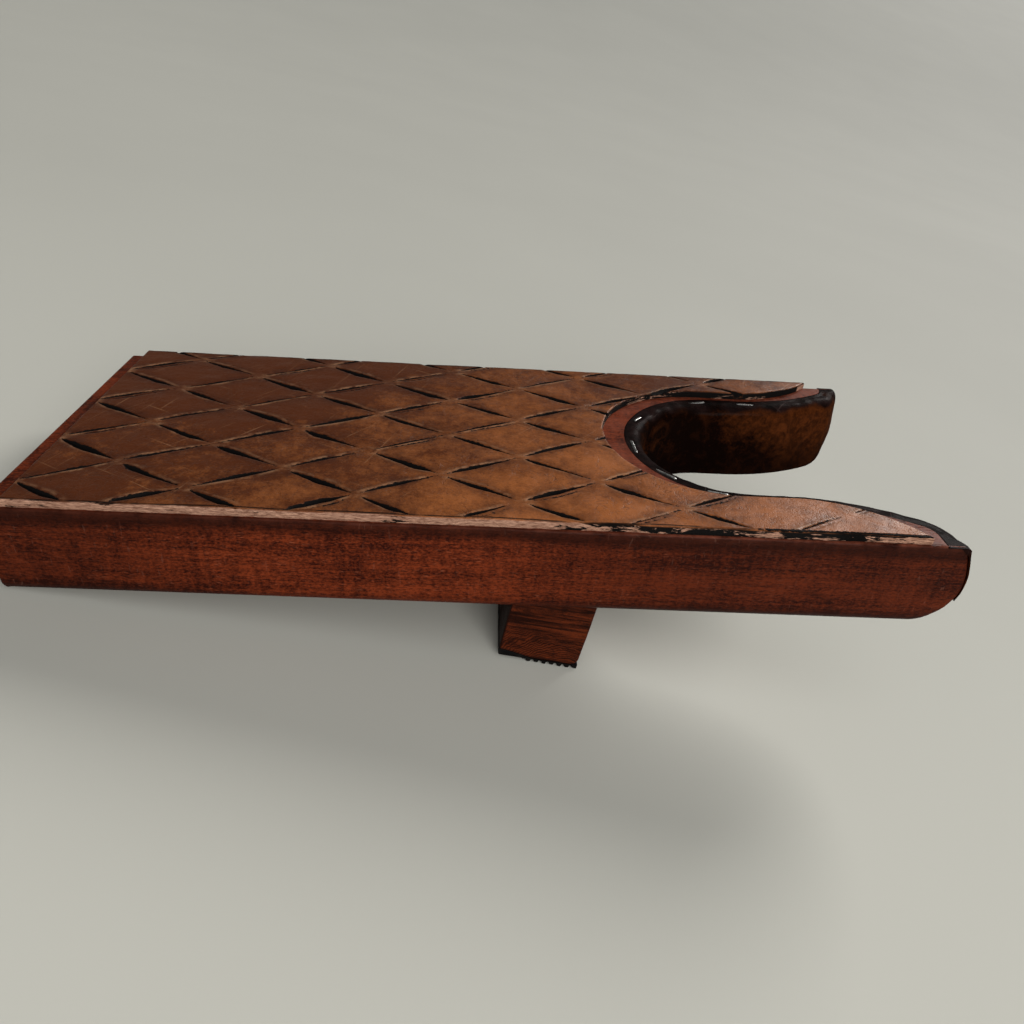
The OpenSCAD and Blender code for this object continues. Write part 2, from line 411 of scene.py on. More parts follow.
# Second colours of the finishes, each blended over a main colour that the panel sets
WOOD_FLECK = (0.34, 0.105, 0.055, 1)
WOOD_STAIN = (0.016, 0.003, 0.0015, 1)
WOOD_SHADE = (0.016, 0.0028, 0.0012, 1)
# colour of the board's painted shade
WOOD_RUBBED = (0.30, 0.085, 0.048, 1)
WOOD_NICK = (0.34, 0.17, 0.12, 1)
# colour of the wood's pores, also used for the cleat's painted shade
WOOD_PORE_AND_SHADE = (0.012, 0.003, 0.002, 1)
CLEAT_PORE = (0.006, 0.002, 0.001, 1)
HIDE_MARK = (0.055, 0.014, 0.005, 1)
HIDE_SCUFF = (0.42, 0.22, 0.11, 1)
HIDE_CREASE = (0.045, 0.012, 0.005, 1)
HIDE_DYE = (0.030, 0.008, 0.004, 1)
# pale of the cuts' lips, partly a painted highlight
HIDE_LIP_PALE_AND_HIGHLIGHT = (0.40, 0.21, 0.11, 1)
# black of the cuts, their dye and painted shade
HIDE_INK_AND_SHADE = (0.0022, 0.0016, 0.0015, 1)
FLESH_DARK = (0.17, 0.075, 0.046, 1)
EDGE_PAINT = (0.0025, 0.0018, 0.0016, 1)
LINING_NAP = (0.004, 0.0012, 0.0006, 1)
# warm patches of painted light on the lining's wall
LINING_GLOW = (0.116, 0.030, 0.0072, 1)
LINING_SCUFF = (0.20, 0.13, 0.12, 1)
RIM_DARK = (0.0022, 0.0010, 0.0009, 1)
RIM_LIGHT = (0.014, 0.0058, 0.0052, 1)
STAPLE_BRIGHT = (0.36, 0.36, 0.35, 1)
STAPLE_TARNISH = (0.08, 0.07, 0.065, 1)
SCREW_BRIGHT = (0.62, 0.60, 0.56, 1)
SCREW_TARNISH = (0.26, 0.24, 0.21, 1)
RUST = (0.16, 0.06, 0.025, 1)
RUBBER_BLACK = (0.0035, 0.0032, 0.0032, 1)
RUBBER_DUST = (0.022, 0.018, 0.015, 1)
RUBBER_RUBBED = (0.022, 0.019, 0.017, 1)
SKY = (0.80, 0.82, 0.80, 1)


def add(tree, kind, values=None, **settings):
    """Adds a node, sets its properties, and fills or links its inputs by name or number."""
    node = tree.nodes.new(kind)
    for name, value in settings.items():
        setattr(node, name, value)
    for key, value in (values or {}).items():
        if isinstance(value, bpy.types.NodeSocket):
            tree.links.new(value, node.inputs[key])
        else:
            node.inputs[key].default_value = value
    return node


def sums(tree, operation, a, b=0.0, clamp=False):
    """The result of a Math node."""
    return add(tree, "ShaderNodeMath", {0: a, 1: b}, operation=operation, use_clamp=clamp).outputs[0]


def plus(tree, a, b, clamp=False):
    """The sum of two values, held between 0 and 1 if clamped."""
    return sums(tree, "ADD", a, b, clamp)


def times(tree, a, b, clamp=False):
    """The product of two values, held between 0 and 1 if clamped."""
    return sums(tree, "MULTIPLY", a, b, clamp)


def sway(tree, tone, noise, weight):
    """The tone moved up or down by how far a noise stands from its middle."""
    return plus(tree, tone, times(tree, sums(tree, "SUBTRACT", noise, 0.5), weight))


def weighted(tree, *terms):
    """The sum of several (value, weight) pairs."""
    total = times(tree, *terms[0])
    for term in terms[1:]:
        total = plus(tree, total, times(tree, *term))
    return total


def blend(tree, amount, a, b, how="MIX"):
    """The colour that a Mix node gives from a to b by amount."""
    node = add(tree, "ShaderNodeMix", {0: amount, 6: a, 7: b}, data_type="RGBA", blend_type=how)
    return node.outputs[2]


def spread(tree, value, low, high, to_low=0.0, to_high=1.0):
    """Carries value from low..high to to_low..to_high, held at the ends."""
    values = {"Value": value, "From Min": low, "From Max": high, "To Min": to_low, "To Max": to_high}
    return add(tree, "ShaderNodeMapRange", values).outputs["Result"]


def grit(tree, where, scale, detail=4.0, rough=0.55, distortion=0.0):
    """Noise from 0 to 1 at scale, in features per metre."""
    values = {"Vector": where, "Scale": scale, "Detail": detail, "Roughness": rough, "Distortion": distortion}
    return add(tree, "ShaderNodeTexNoise", values).outputs["Fac"]


def stretched(tree, where, x, y, z):
    """Coordinates scaled by a different number along each axis."""
    return add(tree, "ShaderNodeMapping", {"Vector": where, "Scale": (x, y, z)}).outputs["Vector"]


def board_place(tree, tilt):
    """Object coordinates turned level with the board, so that the grain runs along it."""
    start = add(tree, "ShaderNodeTexCoord").outputs["Object"]
    return add(tree, "ShaderNodeMapping", {"Vector": start, "Rotation": (0.0, tilt, 0.0)}).outputs["Vector"]


def stored(tree, name):
    """A number that the mesh stores at its vertices."""
    return add(tree, "ShaderNodeAttribute", attribute_name=name).outputs["Fac"]


def new_group(name, inputs, outputs):
    """A shader node group with named inputs, each (name, kind, default), and outputs, each (name, kind)."""
    group = bpy.data.node_groups.new(name, "ShaderNodeTree")
    for label, kind, default in inputs:
        socket = group.interface.new_socket(label, in_out="INPUT", socket_type=kind)
        if default is not None:
            socket.default_value = default
    for label, kind in outputs:
        group.interface.new_socket(label, in_out="OUTPUT", socket_type=kind)
    return group, group.nodes.new("NodeGroupInput").outputs, group.nodes.new("NodeGroupOutput").inputs


def grain_group():
    """Wood grain along X: broad figure, fine streaks, and short dark and pale pores."""
    scalar = "NodeSocketFloat"
    inputs = [
        ("Vector", "NodeSocketVector", None),
        ("Light", "NodeSocketColor", (0.2, 0.06, 0.03, 1)),
        ("Dark", "NodeSocketColor", (0.05, 0.01, 0.005, 1)),
        ("Figure", scalar, 0.6),
    ]
    outputs = [("Color", "NodeSocketColor"), ("Height", scalar), ("Roughness", scalar)]
    tree, given, result = new_group("WoodGrain", inputs, outputs)
    where = given["Vector"]
    broad = grit(tree, stretched(tree, where, 7, 60, 95), 1.0, 5.0, 0.55, 0.7)
    streaks = grit(tree, stretched(tree, where, 22, 520, 620), 1.0, 4.0, 0.6)
    hairs = grit(tree, stretched(tree, where, 110, 2300, 2300), 1.0, 2.0, 0.5)
    pores = spread(tree, grit(tree, stretched(tree, where, 330, 3000, 3000), 1.0, 1.0), 0.60, 0.72)
    flecks = spread(tree, grit(tree, stretched(tree, where, 420, 2600, 2600), 1.0, 1.0, 0.5, 0.3), 0.66, 0.78)
    curl = grit(tree, stretched(tree, where, 95, 22, 30), 1.0, 3.0, 0.5, 0.4)
    speckle = grit(tree, stretched(tree, where, 900, 1500, 1500), 1.0, 3.0, 0.65)
    waves = grit(tree, stretched(tree, where, 620, 90, 120), 1.0, 2.0, 0.5, 0.3)
    tone = weighted(tree, (broad, given["Figure"]), (streaks, 0.55))
    for noise, weight in ((curl, 0.30), (hairs, 0.25), (speckle, 0.95), (waves, 0.34)):
        tone = sway(tree, tone, noise, weight)
    tone = spread(tree, tone, 0.40, 0.80)
    wood = blend(tree, tone, given["Dark"], given["Light"])
    wood = blend(tree, times(tree, pores, 0.65), wood, WOOD_PORE_AND_SHADE)
    wood = blend(tree, times(tree, flecks, 0.42), wood, WOOD_FLECK)
    tree.links.new(wood, result["Color"])
    height = sums(tree, "SUBTRACT", times(tree, streaks, 0.4), times(tree, pores, 0.8))
    tree.links.new(plus(tree, height, times(tree, hairs, 0.4)), result["Height"])
    tree.links.new(times(tree, pores, 0.22), result["Roughness"])
    return tree


def scratch_group():
    """Fine scratches in two crossing directions, as a mask."""
    scalar = "NodeSocketFloat"
    inputs = [("Vector", "NodeSocketVector", None), ("Amount", scalar, 1.0)]
    tree, given, result = new_group("Scratches", inputs, [("Mask", scalar)])
    total = None
    for turn, along, across in ((0.5, 26, 1500), (-0.9, 34, 1900), (1.9, 22, 1300)):
        turned = add(tree, "ShaderNodeMapping", {"Vector": given["Vector"], "Rotation": (0, 0, turn)})
        lines = grit(tree, stretched(tree, turned.outputs["Vector"], along, across, 200), 1.0, 1.0, 0.4, 0.2)
        mask = spread(tree, lines, 0.71, 0.77)
        total = mask if total is None else sums(tree, "MAXIMUM", total, mask)
    patches = spread(tree, grit(tree, given["Vector"], 45.0, 2.0), 0.45, 0.65)
    total = times(tree, times(tree, total, patches), given["Amount"], clamp=True)
    tree.links.new(total, result["Mask"])
    return tree


def crease_group():
    """Thin wandering creases: the lines where a twisted noise crosses its middle value, in patches."""
    scalar = "NodeSocketFloat"
    inputs = [("Vector", "NodeSocketVector", None), ("Scale", scalar, 60.0), ("Amount", scalar, 1.0)]
    tree, given, result = new_group("Creases", inputs, [("Mask", scalar)])
    total = None
    for factor, width in ((1.0, 0.010), (2.7, 0.016)):
        scale = times(tree, given["Scale"], factor)
        twisted = grit(tree, given["Vector"], scale, 3.0, 0.6, 1.3)
        level = sums(tree, "ABSOLUTE", sums(tree, "SUBTRACT", twisted, 0.5))
        lines = spread(tree, level, 0.0, width, 1.0, 0.0)
        where = grit(tree, given["Vector"], times(tree, scale, 0.45), 2.0)
        lines = times(tree, lines, spread(tree, where, 0.46, 0.62))
        total = lines if total is None else sums(tree, "MAXIMUM", total, lines)
    tree.links.new(times(tree, total, given["Amount"], clamp=True), result["Mask"])
    return tree


def mottle_group():
    """Three sizes of blotch blended between two colours, as dyed and handled hide shows."""
    scalar = "NodeSocketFloat"
    inputs = [
        ("Vector", "NodeSocketVector", None),
        ("Dark", "NodeSocketColor", (0.1, 0.04, 0.02, 1)),
        ("Light", "NodeSocketColor", (0.2, 0.09, 0.04, 1)),
        ("Lean", scalar, 0.0),
    ]
    tree, given, result = new_group("HideMottle", inputs, [("Color", "NodeSocketColor"), ("Pores", scalar)])
    where = given["Vector"]
    large = grit(tree, where, 16.0, 3.0, 0.55, 0.4)
    middle = grit(tree, where, 70.0, 4.0, 0.6, 0.5)
    small = grit(tree, where, 420.0, 3.0, 0.6)
    fine = grit(tree, where, 1300.0, 3.0, 0.7)
    tone = weighted(tree, (large, 0.85), (middle, 0.80), (small, 0.55), (fine, 0.55))
    tone = spread(tree, plus(tree, tone, given["Lean"]), 1.08, 1.66)
    tree.links.new(blend(tree, tone, given["Dark"], given["Light"]), result["Color"])
    cells = add(tree, "ShaderNodeTexVoronoi", {"Vector": where, "Scale": 1500.0}, feature="F1")
    pores = spread(tree, cells.outputs["Distance"], 0.05, 0.45)
    tree.links.new(plus(tree, pores, times(tree, small, 0.6)), result["Pores"])
    return tree


def shared(tree, name, maker, values):
    """Places the group of that name in a tree, made the first time it is wanted, and gives its outputs."""
    group = bpy.data.node_groups.get(name) or maker()
    return add(tree, "ShaderNodeGroup", values, node_tree=group).outputs


def wood_grain(tree, where, light, dark, figure):
    """The shared wood grain in two colours."""
    values = {"Vector": where, "Light": opaque(light), "Dark": opaque(dark), "Figure": figure}
    return shared(tree, "WoodGrain", grain_group, values)


def scratches(tree, where, amount):
    """The shared scratches as a mask."""
    return shared(tree, "Scratches", scratch_group, {"Vector": where, "Amount": amount})["Mask"]


def hide_mottle(tree, where, dark, light, lean):
    """The shared mottle in two colours, leaning to the light one by lean."""
    values = {"Vector": where, "Dark": opaque(dark), "Light": opaque(light), "Lean": lean}
    return shared(tree, "HideMottle", mottle_group, values)


def new_finish(name):
    """A material with an empty tree but for its Principled shader and output."""
    finish = bpy.data.materials.new(name)
    finish.use_nodes = True
    tree = finish.node_tree
    tree.nodes.clear()
    shader = tree.nodes.new("ShaderNodeBsdfPrincipled")
    output = tree.nodes.new("ShaderNodeOutputMaterial")
    tree.links.new(shader.outputs[0], output.inputs["Surface"])
    return finish, tree, shader.inputs


def bump(tree, height, distance, strength=1.0, under=None):
    """The normal that a Bump node gives for a height, over another normal if there is one."""
    values = {"Height": height, "Distance": distance, "Strength": strength}
    if under is not None:
        values["Normal"] = under
    return add(tree, "ShaderNodeBump", values).outputs["Normal"]


def opaque(red_green_blue):
    """The colour with a full alpha."""
    return (*red_green_blue, 1.0)


def wood_finish(j):
    """Oiled hardwood with grain along the board and a few stains, darkened by painted shade towards the
    underside, under the top arris and towards both ends.
    """
    finish, tree, shader = new_finish("board_hardwood")
    where = board_place(tree, j.tilt)
    grain = wood_grain(tree, where, j.wood_light, j.wood_dark, 0.62)
    stains = spread(tree, grit(tree, stretched(tree, where, 30, 60, 120), 1.0, 3.0, 0.6, 1.0), 0.62, 0.80)
    colour_now = blend(tree, times(tree, stains, 0.60), grain["Color"], WOOD_STAIN)
    # Painted shade: the board's shade attribute darkens its sides towards a near-black brown.
    shade = stored(tree, "shade")
    colour_now = blend(tree, shade, colour_now, WOOD_SHADE)
    rubbed = times(tree, stored(tree, "rubbed"), spread(tree, grit(tree, where, 160.0), 0.30, 0.66))
    colour_now = blend(tree, times(tree, rubbed, 0.75), colour_now, WOOD_RUBBED)
    nicks = scratches(tree, where, 0.12)
    colour_now = blend(tree, nicks, colour_now, WOOD_NICK)
    tree.links.new(colour_now, shader["Base Color"])
    rough = spread(tree, grit(tree, where, 55.0, 4.0), 0.3, 0.7, 0.40, 0.56)
    tree.links.new(plus(tree, rough, grain["Roughness"]), shader["Roughness"])
    shader["Specular IOR Level"].default_value = 0.06
    tree.links.new(bump(tree, grain["Height"], 0.00018, 0.8), shader["Normal"])
    return finish


def cleat_finish(j):
    """Dark hardwood: grain along the cleat, and curved growth rings on its end faces."""
    finish, tree, shader = new_finish("cleat_hardwood")
    start = add(tree, "ShaderNodeTexCoord").outputs["Object"]
    along_y = add(tree, "ShaderNodeMapping", {"Vector": start, "Rotation": (0, 0, QUARTER_TURN)})
    grain = wood_grain(tree, along_y.outputs["Vector"], j.cleat_light, j.cleat_dark, 0.6)
    heart = (-0.036, 0.0, 0.003)
    rings_at = add(tree, "ShaderNodeMapping", {"Vector": start, "Location": heart, "Scale": (1, 0.02, 1.3)})
    wavy = grit(tree, start, 90.0, 4.0, 0.6)
    from_heart = add(tree, "ShaderNodeVectorMath", {0: rings_at.outputs["Vector"]}, operation="LENGTH")
    far = from_heart.outputs["Value"]
    ring = weighted(tree, (far, 5600.0), (wavy, 44.0))
    ring = spread(tree, sums(tree, "SINE", ring), -1.0, 0.8)
    height_now = add(tree, "ShaderNodeSeparateXYZ", {0: start}).outputs["Z"]
    layers = grit(tree, stretched(tree, start, 40, 2, 800), 1.0, 5.0, 0.6, 0.8)
    layers = spread(tree, layers, 0.42, 0.60)
    foot = spread(tree, height_now, 0.011, 0.015, 1.0, 0.0)
    ring = times(tree, ring, times(tree, foot, 0.7))
    upper = times(tree, layers, sums(tree, "SUBTRACT", 1.0, times(tree, foot, 0.6)))
    ring = plus(tree, ring, upper, clamp=True)
    facing = add(tree, "ShaderNodeNewGeometry").outputs["Normal"]
    end_on = add(tree, "ShaderNodeSeparateXYZ", {0: facing}).outputs["Y"]
    end_on = spread(tree, sums(tree, "ABSOLUTE", end_on), 0.6, 0.9)
    rings = blend(tree, ring, opaque(j.cleat_dark), opaque(j.cleat_light))
    clouds = spread(tree, grit(tree, stretched(tree, start, 110, 8, 300), 1.0, 4.0, 0.6, 0.9), 0.47, 0.64)
    rings = blend(tree, times(tree, clouds, 0.8), rings, opaque(j.cleat_dark))
    dots = spread(tree, grit(tree, stretched(tree, start, 2600, 60, 2600), 1.0, 1.0), 0.58, 0.70)
    rings = blend(tree, times(tree, dots, 0.6), rings, CLEAT_PORE)
    wood = blend(tree, times(tree, end_on, 0.90), grain["Color"], rings)
    # Painted shade: the cleat's shade attribute darkens it towards the pore colour.
    wood = blend(tree, stored(tree, "shade"), wood, WOOD_PORE_AND_SHADE)
    tree.links.new(wood, shader["Base Color"])
    tree.links.new(spread(tree, wavy, 0.3, 0.7, 0.42, 0.62), shader["Roughness"])
    shader["Specular IOR Level"].default_value = 0.05
    height = plus(tree, grain["Height"], times(tree, times(tree, ring, end_on), 0.6))
    tree.links.new(bump(tree, height, 0.00018, 0.7), shader["Normal"])
    return finish


def leather_finish(j):
    """Waxed tooling leather: mottled brown, darkened by painted shade towards the heel end; black in its cuts
    from dye and painted shade; pale on their lips, partly as a painted highlight; raw at its edges.
    """
    finish, tree, shader = new_finish("carved_leather")
    where = board_place(tree, j.tilt)
    along = add(tree, "ShaderNodeSeparateXYZ", {0: where}).outputs
    # Painted shade: the mottle leans darker towards the heel end, standing for the light's falloff, and
    # lighter towards the near side.
    lean = spread(tree, along["Y"], -0.055, 0.055, 0.18, -0.12)
    lean = plus(tree, lean, spread(tree, along["X"], -0.15, 0.02, -0.64, -0.03))
    hide = hide_mottle(tree, where, j.leather_brown, j.leather_gold, lean)
    marks = spread(tree, grit(tree, where, 34.0, 5.0, 0.65, 1.2), 0.55, 0.74)
    colour_now = blend(tree, times(tree, marks, 0.5), hide["Color"], HIDE_MARK)
    scuffs = scratches(tree, where, 0.42)
    colour_now = blend(tree, scuffs, colour_now, HIDE_SCUFF)
    values = {"Vector": where, "Scale": 62.0, "Amount": 0.55}
    creases = shared(tree, "Creases", crease_group, values)["Mask"]
    colour_now = blend(tree, creases, colour_now, HIDE_CREASE)
    near_cut = stored(tree, "near_cut")
    dye = times(tree, near_cut, spread(tree, grit(tree, where, 240.0, 3.0), 0.35, 0.65, 0.2, 0.75))
    colour_now = blend(tree, dye, colour_now, HIDE_DYE)
    # Pale lips beside the cuts: partly paler leather, partly a painted highlight on each raised lip.
    lips = times(tree, stored(tree, "lip"), spread(tree, grit(tree, where, 330.0, 3.0), 0.36, 0.60))
    colour_now = blend(tree, times(tree, lips, 0.70), colour_now, HIDE_LIP_PALE_AND_HIGHLIGHT)
    # Black dye and painted shade in the cuts, made ragged, with the scribed lines.
    ink_and_shade = stored(tree, "ink_and_shade")
    ragged = plus(tree, ink_and_shade, spread(tree, grit(tree, where, 800.0, 4.0, 0.7), 0.3, 0.7, -0.34, 0.28))
    ragged = spread(tree, ragged, 0.16, 0.36)
    wobble = spread(tree, grit(tree, where, 28.0, 3.0), 0.2, 0.8, -0.0006, 0.0006)
    from_line = sums(tree, "SUBTRACT", sums(tree, "ABSOLUTE", along["Y"]), SCRIBE_Y)
    from_line = sums(tree, "ABSOLUTE", plus(tree, from_line, wobble))
    scribed = spread(tree, from_line, 0.00014, 0.00050, 1.0, 0.0)
    scribed = times(tree, scribed, spread(tree, grit(tree, where, 75.0, 4.0), 0.38, 0.50, 0.15, 0.95))
    ragged = sums(tree, "MAXIMUM", ragged, scribed)
    colour_now = blend(tree, ragged, colour_now, HIDE_INK_AND_SHADE)
    cut_face = stored(tree, "cut_face")
    fibres = spread(tree, grit(tree, stretched(tree, where, 420, 420, 2400), 1.0, 4.0, 0.7), 0.35, 0.68)
    flesh = blend(tree, fibres, FLESH_DARK, opaque(j.leather_flesh))
    patches = grit(tree, stretched(tree, where, 70, 70, 330), 1.0, 5.0, 0.75, 0.5)
    painted = spread(tree, plus(tree, patches, stored(tree, "paint")), 0.575, 0.605)
    flesh = blend(tree, painted, flesh, EDGE_PAINT)
    colour_now = blend(tree, cut_face, colour_now, flesh)
    tree.links.new(colour_now, shader["Base Color"])
    sheen = spread(tree, grit(tree, where, 60.0, 4.0, 0.6), 0.3, 0.7, 0.33, 0.50)
    rough = plus(tree, sheen, times(tree, scuffs, 0.2))
    rough = plus(tree, rough, times(tree, ragged, 0.45))
    rough = plus(tree, rough, times(tree, cut_face, 0.35), clamp=True)
    tree.links.new(rough, shader["Roughness"])
    shader["Specular IOR Level"].default_value = 0.13
    height = plus(tree, times(tree, hide["Pores"], 0.5), times(tree, scuffs, -0.7))
    height = sums(tree, "SUBTRACT", height, times(tree, creases, 1.2))
    height = sums(tree, "SUBTRACT", height, times(tree, scribed, 2.0))
    height = plus(tree, height, times(tree, times(tree, fibres, cut_face), 2.5))
    soft = grit(tree, where, 130.0, 3.0, 0.5)
    normal = bump(tree, soft, 0.0009, 0.5)
    tree.links.new(bump(tree, height, 0.00012, 0.7, normal), shader["Normal"])
    return finish


def lining_finish(j):
    """Dark lining hide: glossy black where it is stretched over the rim, napped on the wall, with painted
    light that lightens the wall towards the far prong's tip and painted shade that darkens it towards the
    bottom.
    """
    finish, tree, shader = new_finish("lining_hide")
    shader["Coat Weight"].default_value = 0.018
    shader["Coat Roughness"].default_value = 0.22
    where = board_place(tree, j.tilt)
    # Painted light: the worn attribute lightens the wall towards the far prong's tip, where light falls on
    # it.
    lean = spread(tree, stored(tree, "worn"), 0.0, 1.0, -0.42, 0.12)
    hide = hide_mottle(tree, where, j.lining_dark, j.lining_warm, lean)
    nap = grit(tree, where, 420.0, 5.0, 0.7, 0.6)
    wall = blend(tree, spread(tree, nap, 0.62, 0.38, 0.0, 0.55), hide["Color"], LINING_NAP)
    # Painted light: warm patches on the wall, strongest towards the far tip where the wall is painted
    # lighter.
    glow = spread(tree, grit(tree, where, 120.0, 4.0, 0.6, 0.8), 0.52, 0.74)
    glow = times(tree, glow, spread(tree, stored(tree, "worn"), 0.0, 1.0, 0.12, 0.6))
    wall = blend(tree, glow, wall, LINING_GLOW)
    # Painted shade: the lower wall is darkened towards the lining's dark colour.
    low = times(tree, stored(tree, "low"), 0.70)
    wall = blend(tree, low, wall, opaque(j.lining_dark))
    rim = stored(tree, "rim")
    rim_mottle = spread(tree, grit(tree, where, 220.0, 4.0, 0.6), 0.35, 0.7)
    rim_hide = blend(tree, rim_mottle, RIM_DARK, RIM_LIGHT)
    colour_now = blend(tree, rim, wall, rim_hide)
    scuffs = scratches(tree, where, 0.35)
    colour_now = blend(tree, times(tree, scuffs, rim), colour_now, LINING_SCUFF)
    tree.links.new(colour_now, shader["Base Color"])
    rough = spread(tree, rim, 0.0, 1.0, 0.88, 0.62)
    rough = plus(tree, rough, spread(tree, nap, 0.3, 0.7, -0.07, 0.10), clamp=True)
    tree.links.new(rough, shader["Roughness"])
    shader["Specular IOR Level"].default_value = 0.01
    height = plus(tree, hide["Pores"], nap)
    fold = bump(tree, grit(tree, where, 260.0, 3.0, 0.55), 0.0004, 0.4)
    tree.links.new(bump(tree, height, 0.00010, 0.5, fold), shader["Normal"])
    return finish


def steel_finish(name, bright, tarnish, shine):
    """Drawn steel with fine lines, tarnish in patches and specks of rust."""
    finish, tree, shader = new_finish(name)
    where = add(tree, "ShaderNodeTexCoord").outputs["Object"]
    patches = spread(tree, grit(tree, where, 700.0, 4.0, 0.65), 0.42, 0.68)
    specks = spread(tree, grit(tree, where, 2600.0, 2.0), 0.66, 0.74)
    colour_now = blend(tree, times(tree, patches, 0.55), bright, tarnish)
    colour_now = blend(tree, times(tree, specks, 0.5), colour_now, RUST)
    tree.links.new(colour_now, shader["Base Color"])
    tree.links.new(sums(tree, "SUBTRACT", 1.0, times(tree, specks, 0.6)), shader["Metallic"])
    tree.links.new(spread(tree, patches, 0.0, 1.0, shine, shine + 0.22), shader["Roughness"])
    tree.links.new(bump(tree, grit(tree, where, 3000.0, 3.0), 0.00003, 0.6), shader["Normal"])
    return finish


def rubber_finish():
    """Black ribbed rubber, dusty on its ribs."""
    finish, tree, shader = new_finish("tread_rubber")
    where = add(tree, "ShaderNodeTexCoord").outputs["Object"]
    dust = spread(tree, grit(tree, where, 300.0, 5.0, 0.7), 0.48, 0.72)
    dust = times(tree, dust, 0.45)
    colour_now = blend(tree, dust, RUBBER_BLACK, RUBBER_DUST)
    colour_now = blend(tree, stored(tree, "rubbed"), colour_now, RUBBER_RUBBED)
    tree.links.new(colour_now, shader["Base Color"])
    tree.links.new(spread(tree, dust, 0.0, 0.45, 0.52, 0.82), shader["Roughness"])
    shader["Specular IOR Level"].default_value = 0.05
    tree.links.new(bump(tree, grit(tree, where, 1700.0, 4.0, 0.7), 0.00010, 0.7), shader["Normal"])
    return finish


def floor_finish(j):
    """Plain pale matt floor with a barely seen unevenness."""
    finish, tree, shader = new_finish("floor_paint")
    where = add(tree, "ShaderNodeTexCoord").outputs["Object"]
    tone = spread(tree, grit(tree, where, 3.0, 3.0), 0.3, 0.7)
    darker = tuple(0.96 * channel for channel in j.floor_pale)
    tree.links.new(blend(tree, tone, opaque(darker), opaque(j.floor_pale)), shader["Base Color"])
    shader["Roughness"].default_value = 0.85
    return finish


# ---------------------------------------------------------------- the board


def inset_corner(corner, inward, insets, radius, start):
    """An upright corner of the board's outline drawn back by its own inset on each face: an elliptical arc
    that shrinks to the crossing point of the two faces once the insets pass its radius."""
    turn = start + np.linspace(0, QUARTER_TURN, CORNER_STEPS)
    dx, dy = insets
    x = corner[0] + inward[0] * max(dx, radius) + max(radius - dx, 0) * np.cos(turn)
    y = corner[1] + inward[1] * max(dy, radius) + max(radius - dy, 0) * np.sin(turn)
    return x, y


def near_ends(j, s):
    """0 along the notch, rising to 1 over the last stretch of both prong ends."""
    last = j.tip_end + np.where(s < 0, j.end_far, j.end_near)
    return smooth(7.5, 1.5, last - np.abs(s))


def wood_profile(j, part, a, low_r, high_r, step):
    """Inset and height of one level of the board's outside: a quarter round of radius low_r, a wall that
    bellies out a hair, a quarter round of radius high_r that ends step below the top, and the step."""
    top = j.board_t - step
    if part == "bottom":
        return low_r * (1 - math.sin(a * QUARTER_TURN)) + 0.2, low_r * (1 - math.cos(a * QUARTER_TURN))
    if part == "wall":
        return 0.2 * (2 * a - 1) ** 2, low_r + (top - high_r - low_r) * a
    inset = high_r * (1 - math.cos(a * QUARTER_TURN)) + 0.2
    return inset, top - high_r * (1 - math.sin(a * QUARTER_TURN))


def board_ring(j, part, a, shelf, extra):
    """One level of the board's outline. The notch and prong ends keep a step for the lining's rim; shelf
    from 0 to 1 carries the level across that step, and extra draws it further in."""
    half = j.board_w / 2
    tip = j.board_l - j.lining_t
    r = j.corner_r
    side_in, z_side = wood_profile(j, part, a, j.side_r, j.arris_r, 0)
    heel_in, z_heel = wood_profile(j, part, a, j.heel_r, 1.4 * j.arris_r, 0)
    side_in += extra + 0.15 * shelf
    heel_in += extra + 0.15 * shelf
    by_side = max(r, side_in)
    by_heel = max(r, heel_in) + 0.5
    s_far = j.tip_end + j.end_far - by_side
    s_near = j.tip_end + j.end_near - by_side
    s = np.concatenate([-np.linspace(s_far, 0, 160), np.linspace(0, s_near, 170)[1:]])
    ends = near_ends(j, s)
    high_r = NOTCH_TOP_R * (1 - ends) + END_TOP_R * ends
    low_r = NOTCH_LOW_R * (1 - ends) + j.side_r * ends
    inset, z_notch = wood_profile(j, part, a, low_r, high_r, RIM_STEP * (1 - ends / 2))
    inset = inset - 0.2 + 0 * s
    z_notch = z_notch + 0 * s
    if shelf > 0:
        full = j.rim_w - j.lining_t
        inset = 0 * s + (full - 0.08 if shelf < 0.75 else full) + extra
        z_notch = z_notch if shelf < 0.75 else 0 * s + j.board_t
    if shelf == 0:
        inset = inset + extra
    blend_in = np.linspace(0, 1, CORNER_STEPS)
    x, y = notch_edge(j, s, j.lining_t + inset)
    parts = [(x, y, z_notch)]
    x, y = inset_corner((tip, -half), (-1, 1), (inset[-1], side_in), r, -QUARTER_TURN)
    parts.append((x[::-1], y[::-1], z_notch[-1] * (1 - blend_in) + z_side * blend_in))
    x = np.linspace(tip - max(r, inset[-1]) - 0.5, by_heel, 110)
    parts.append((x, 0 * x - half + side_in, 0 * x + z_side))
    x, y = inset_corner((0, -half), (1, 1), (heel_in, side_in), r, -HALF_TURN)
    parts.append((x[::-1], y[::-1], z_side * (1 - blend_in) + z_heel * blend_in))
    y = np.linspace(by_side + 0.5 - half, half - by_side - 0.5, 50)
    parts.append((0 * y + heel_in, y, 0 * y + z_heel))
    x, y = inset_corner((0, half), (1, -1), (heel_in, side_in), r, QUARTER_TURN)
    parts.append((x[::-1], y[::-1], z_heel * (1 - blend_in) + z_side * blend_in))
    x = np.linspace(by_heel, tip - max(r, inset[0]) - 0.5, 110)
    parts.append((x, 0 * x + half - side_in, 0 * x + z_side))
    x, y = inset_corner((tip, half), (-1, -1), (inset[0], side_in), r, 0)
    parts.append((x[::-1], y[::-1], z_side * (1 - blend_in) + z_notch[0] * blend_in))
    return np.stack([np.concatenate(columns) for columns in zip(*parts)], axis=-1)


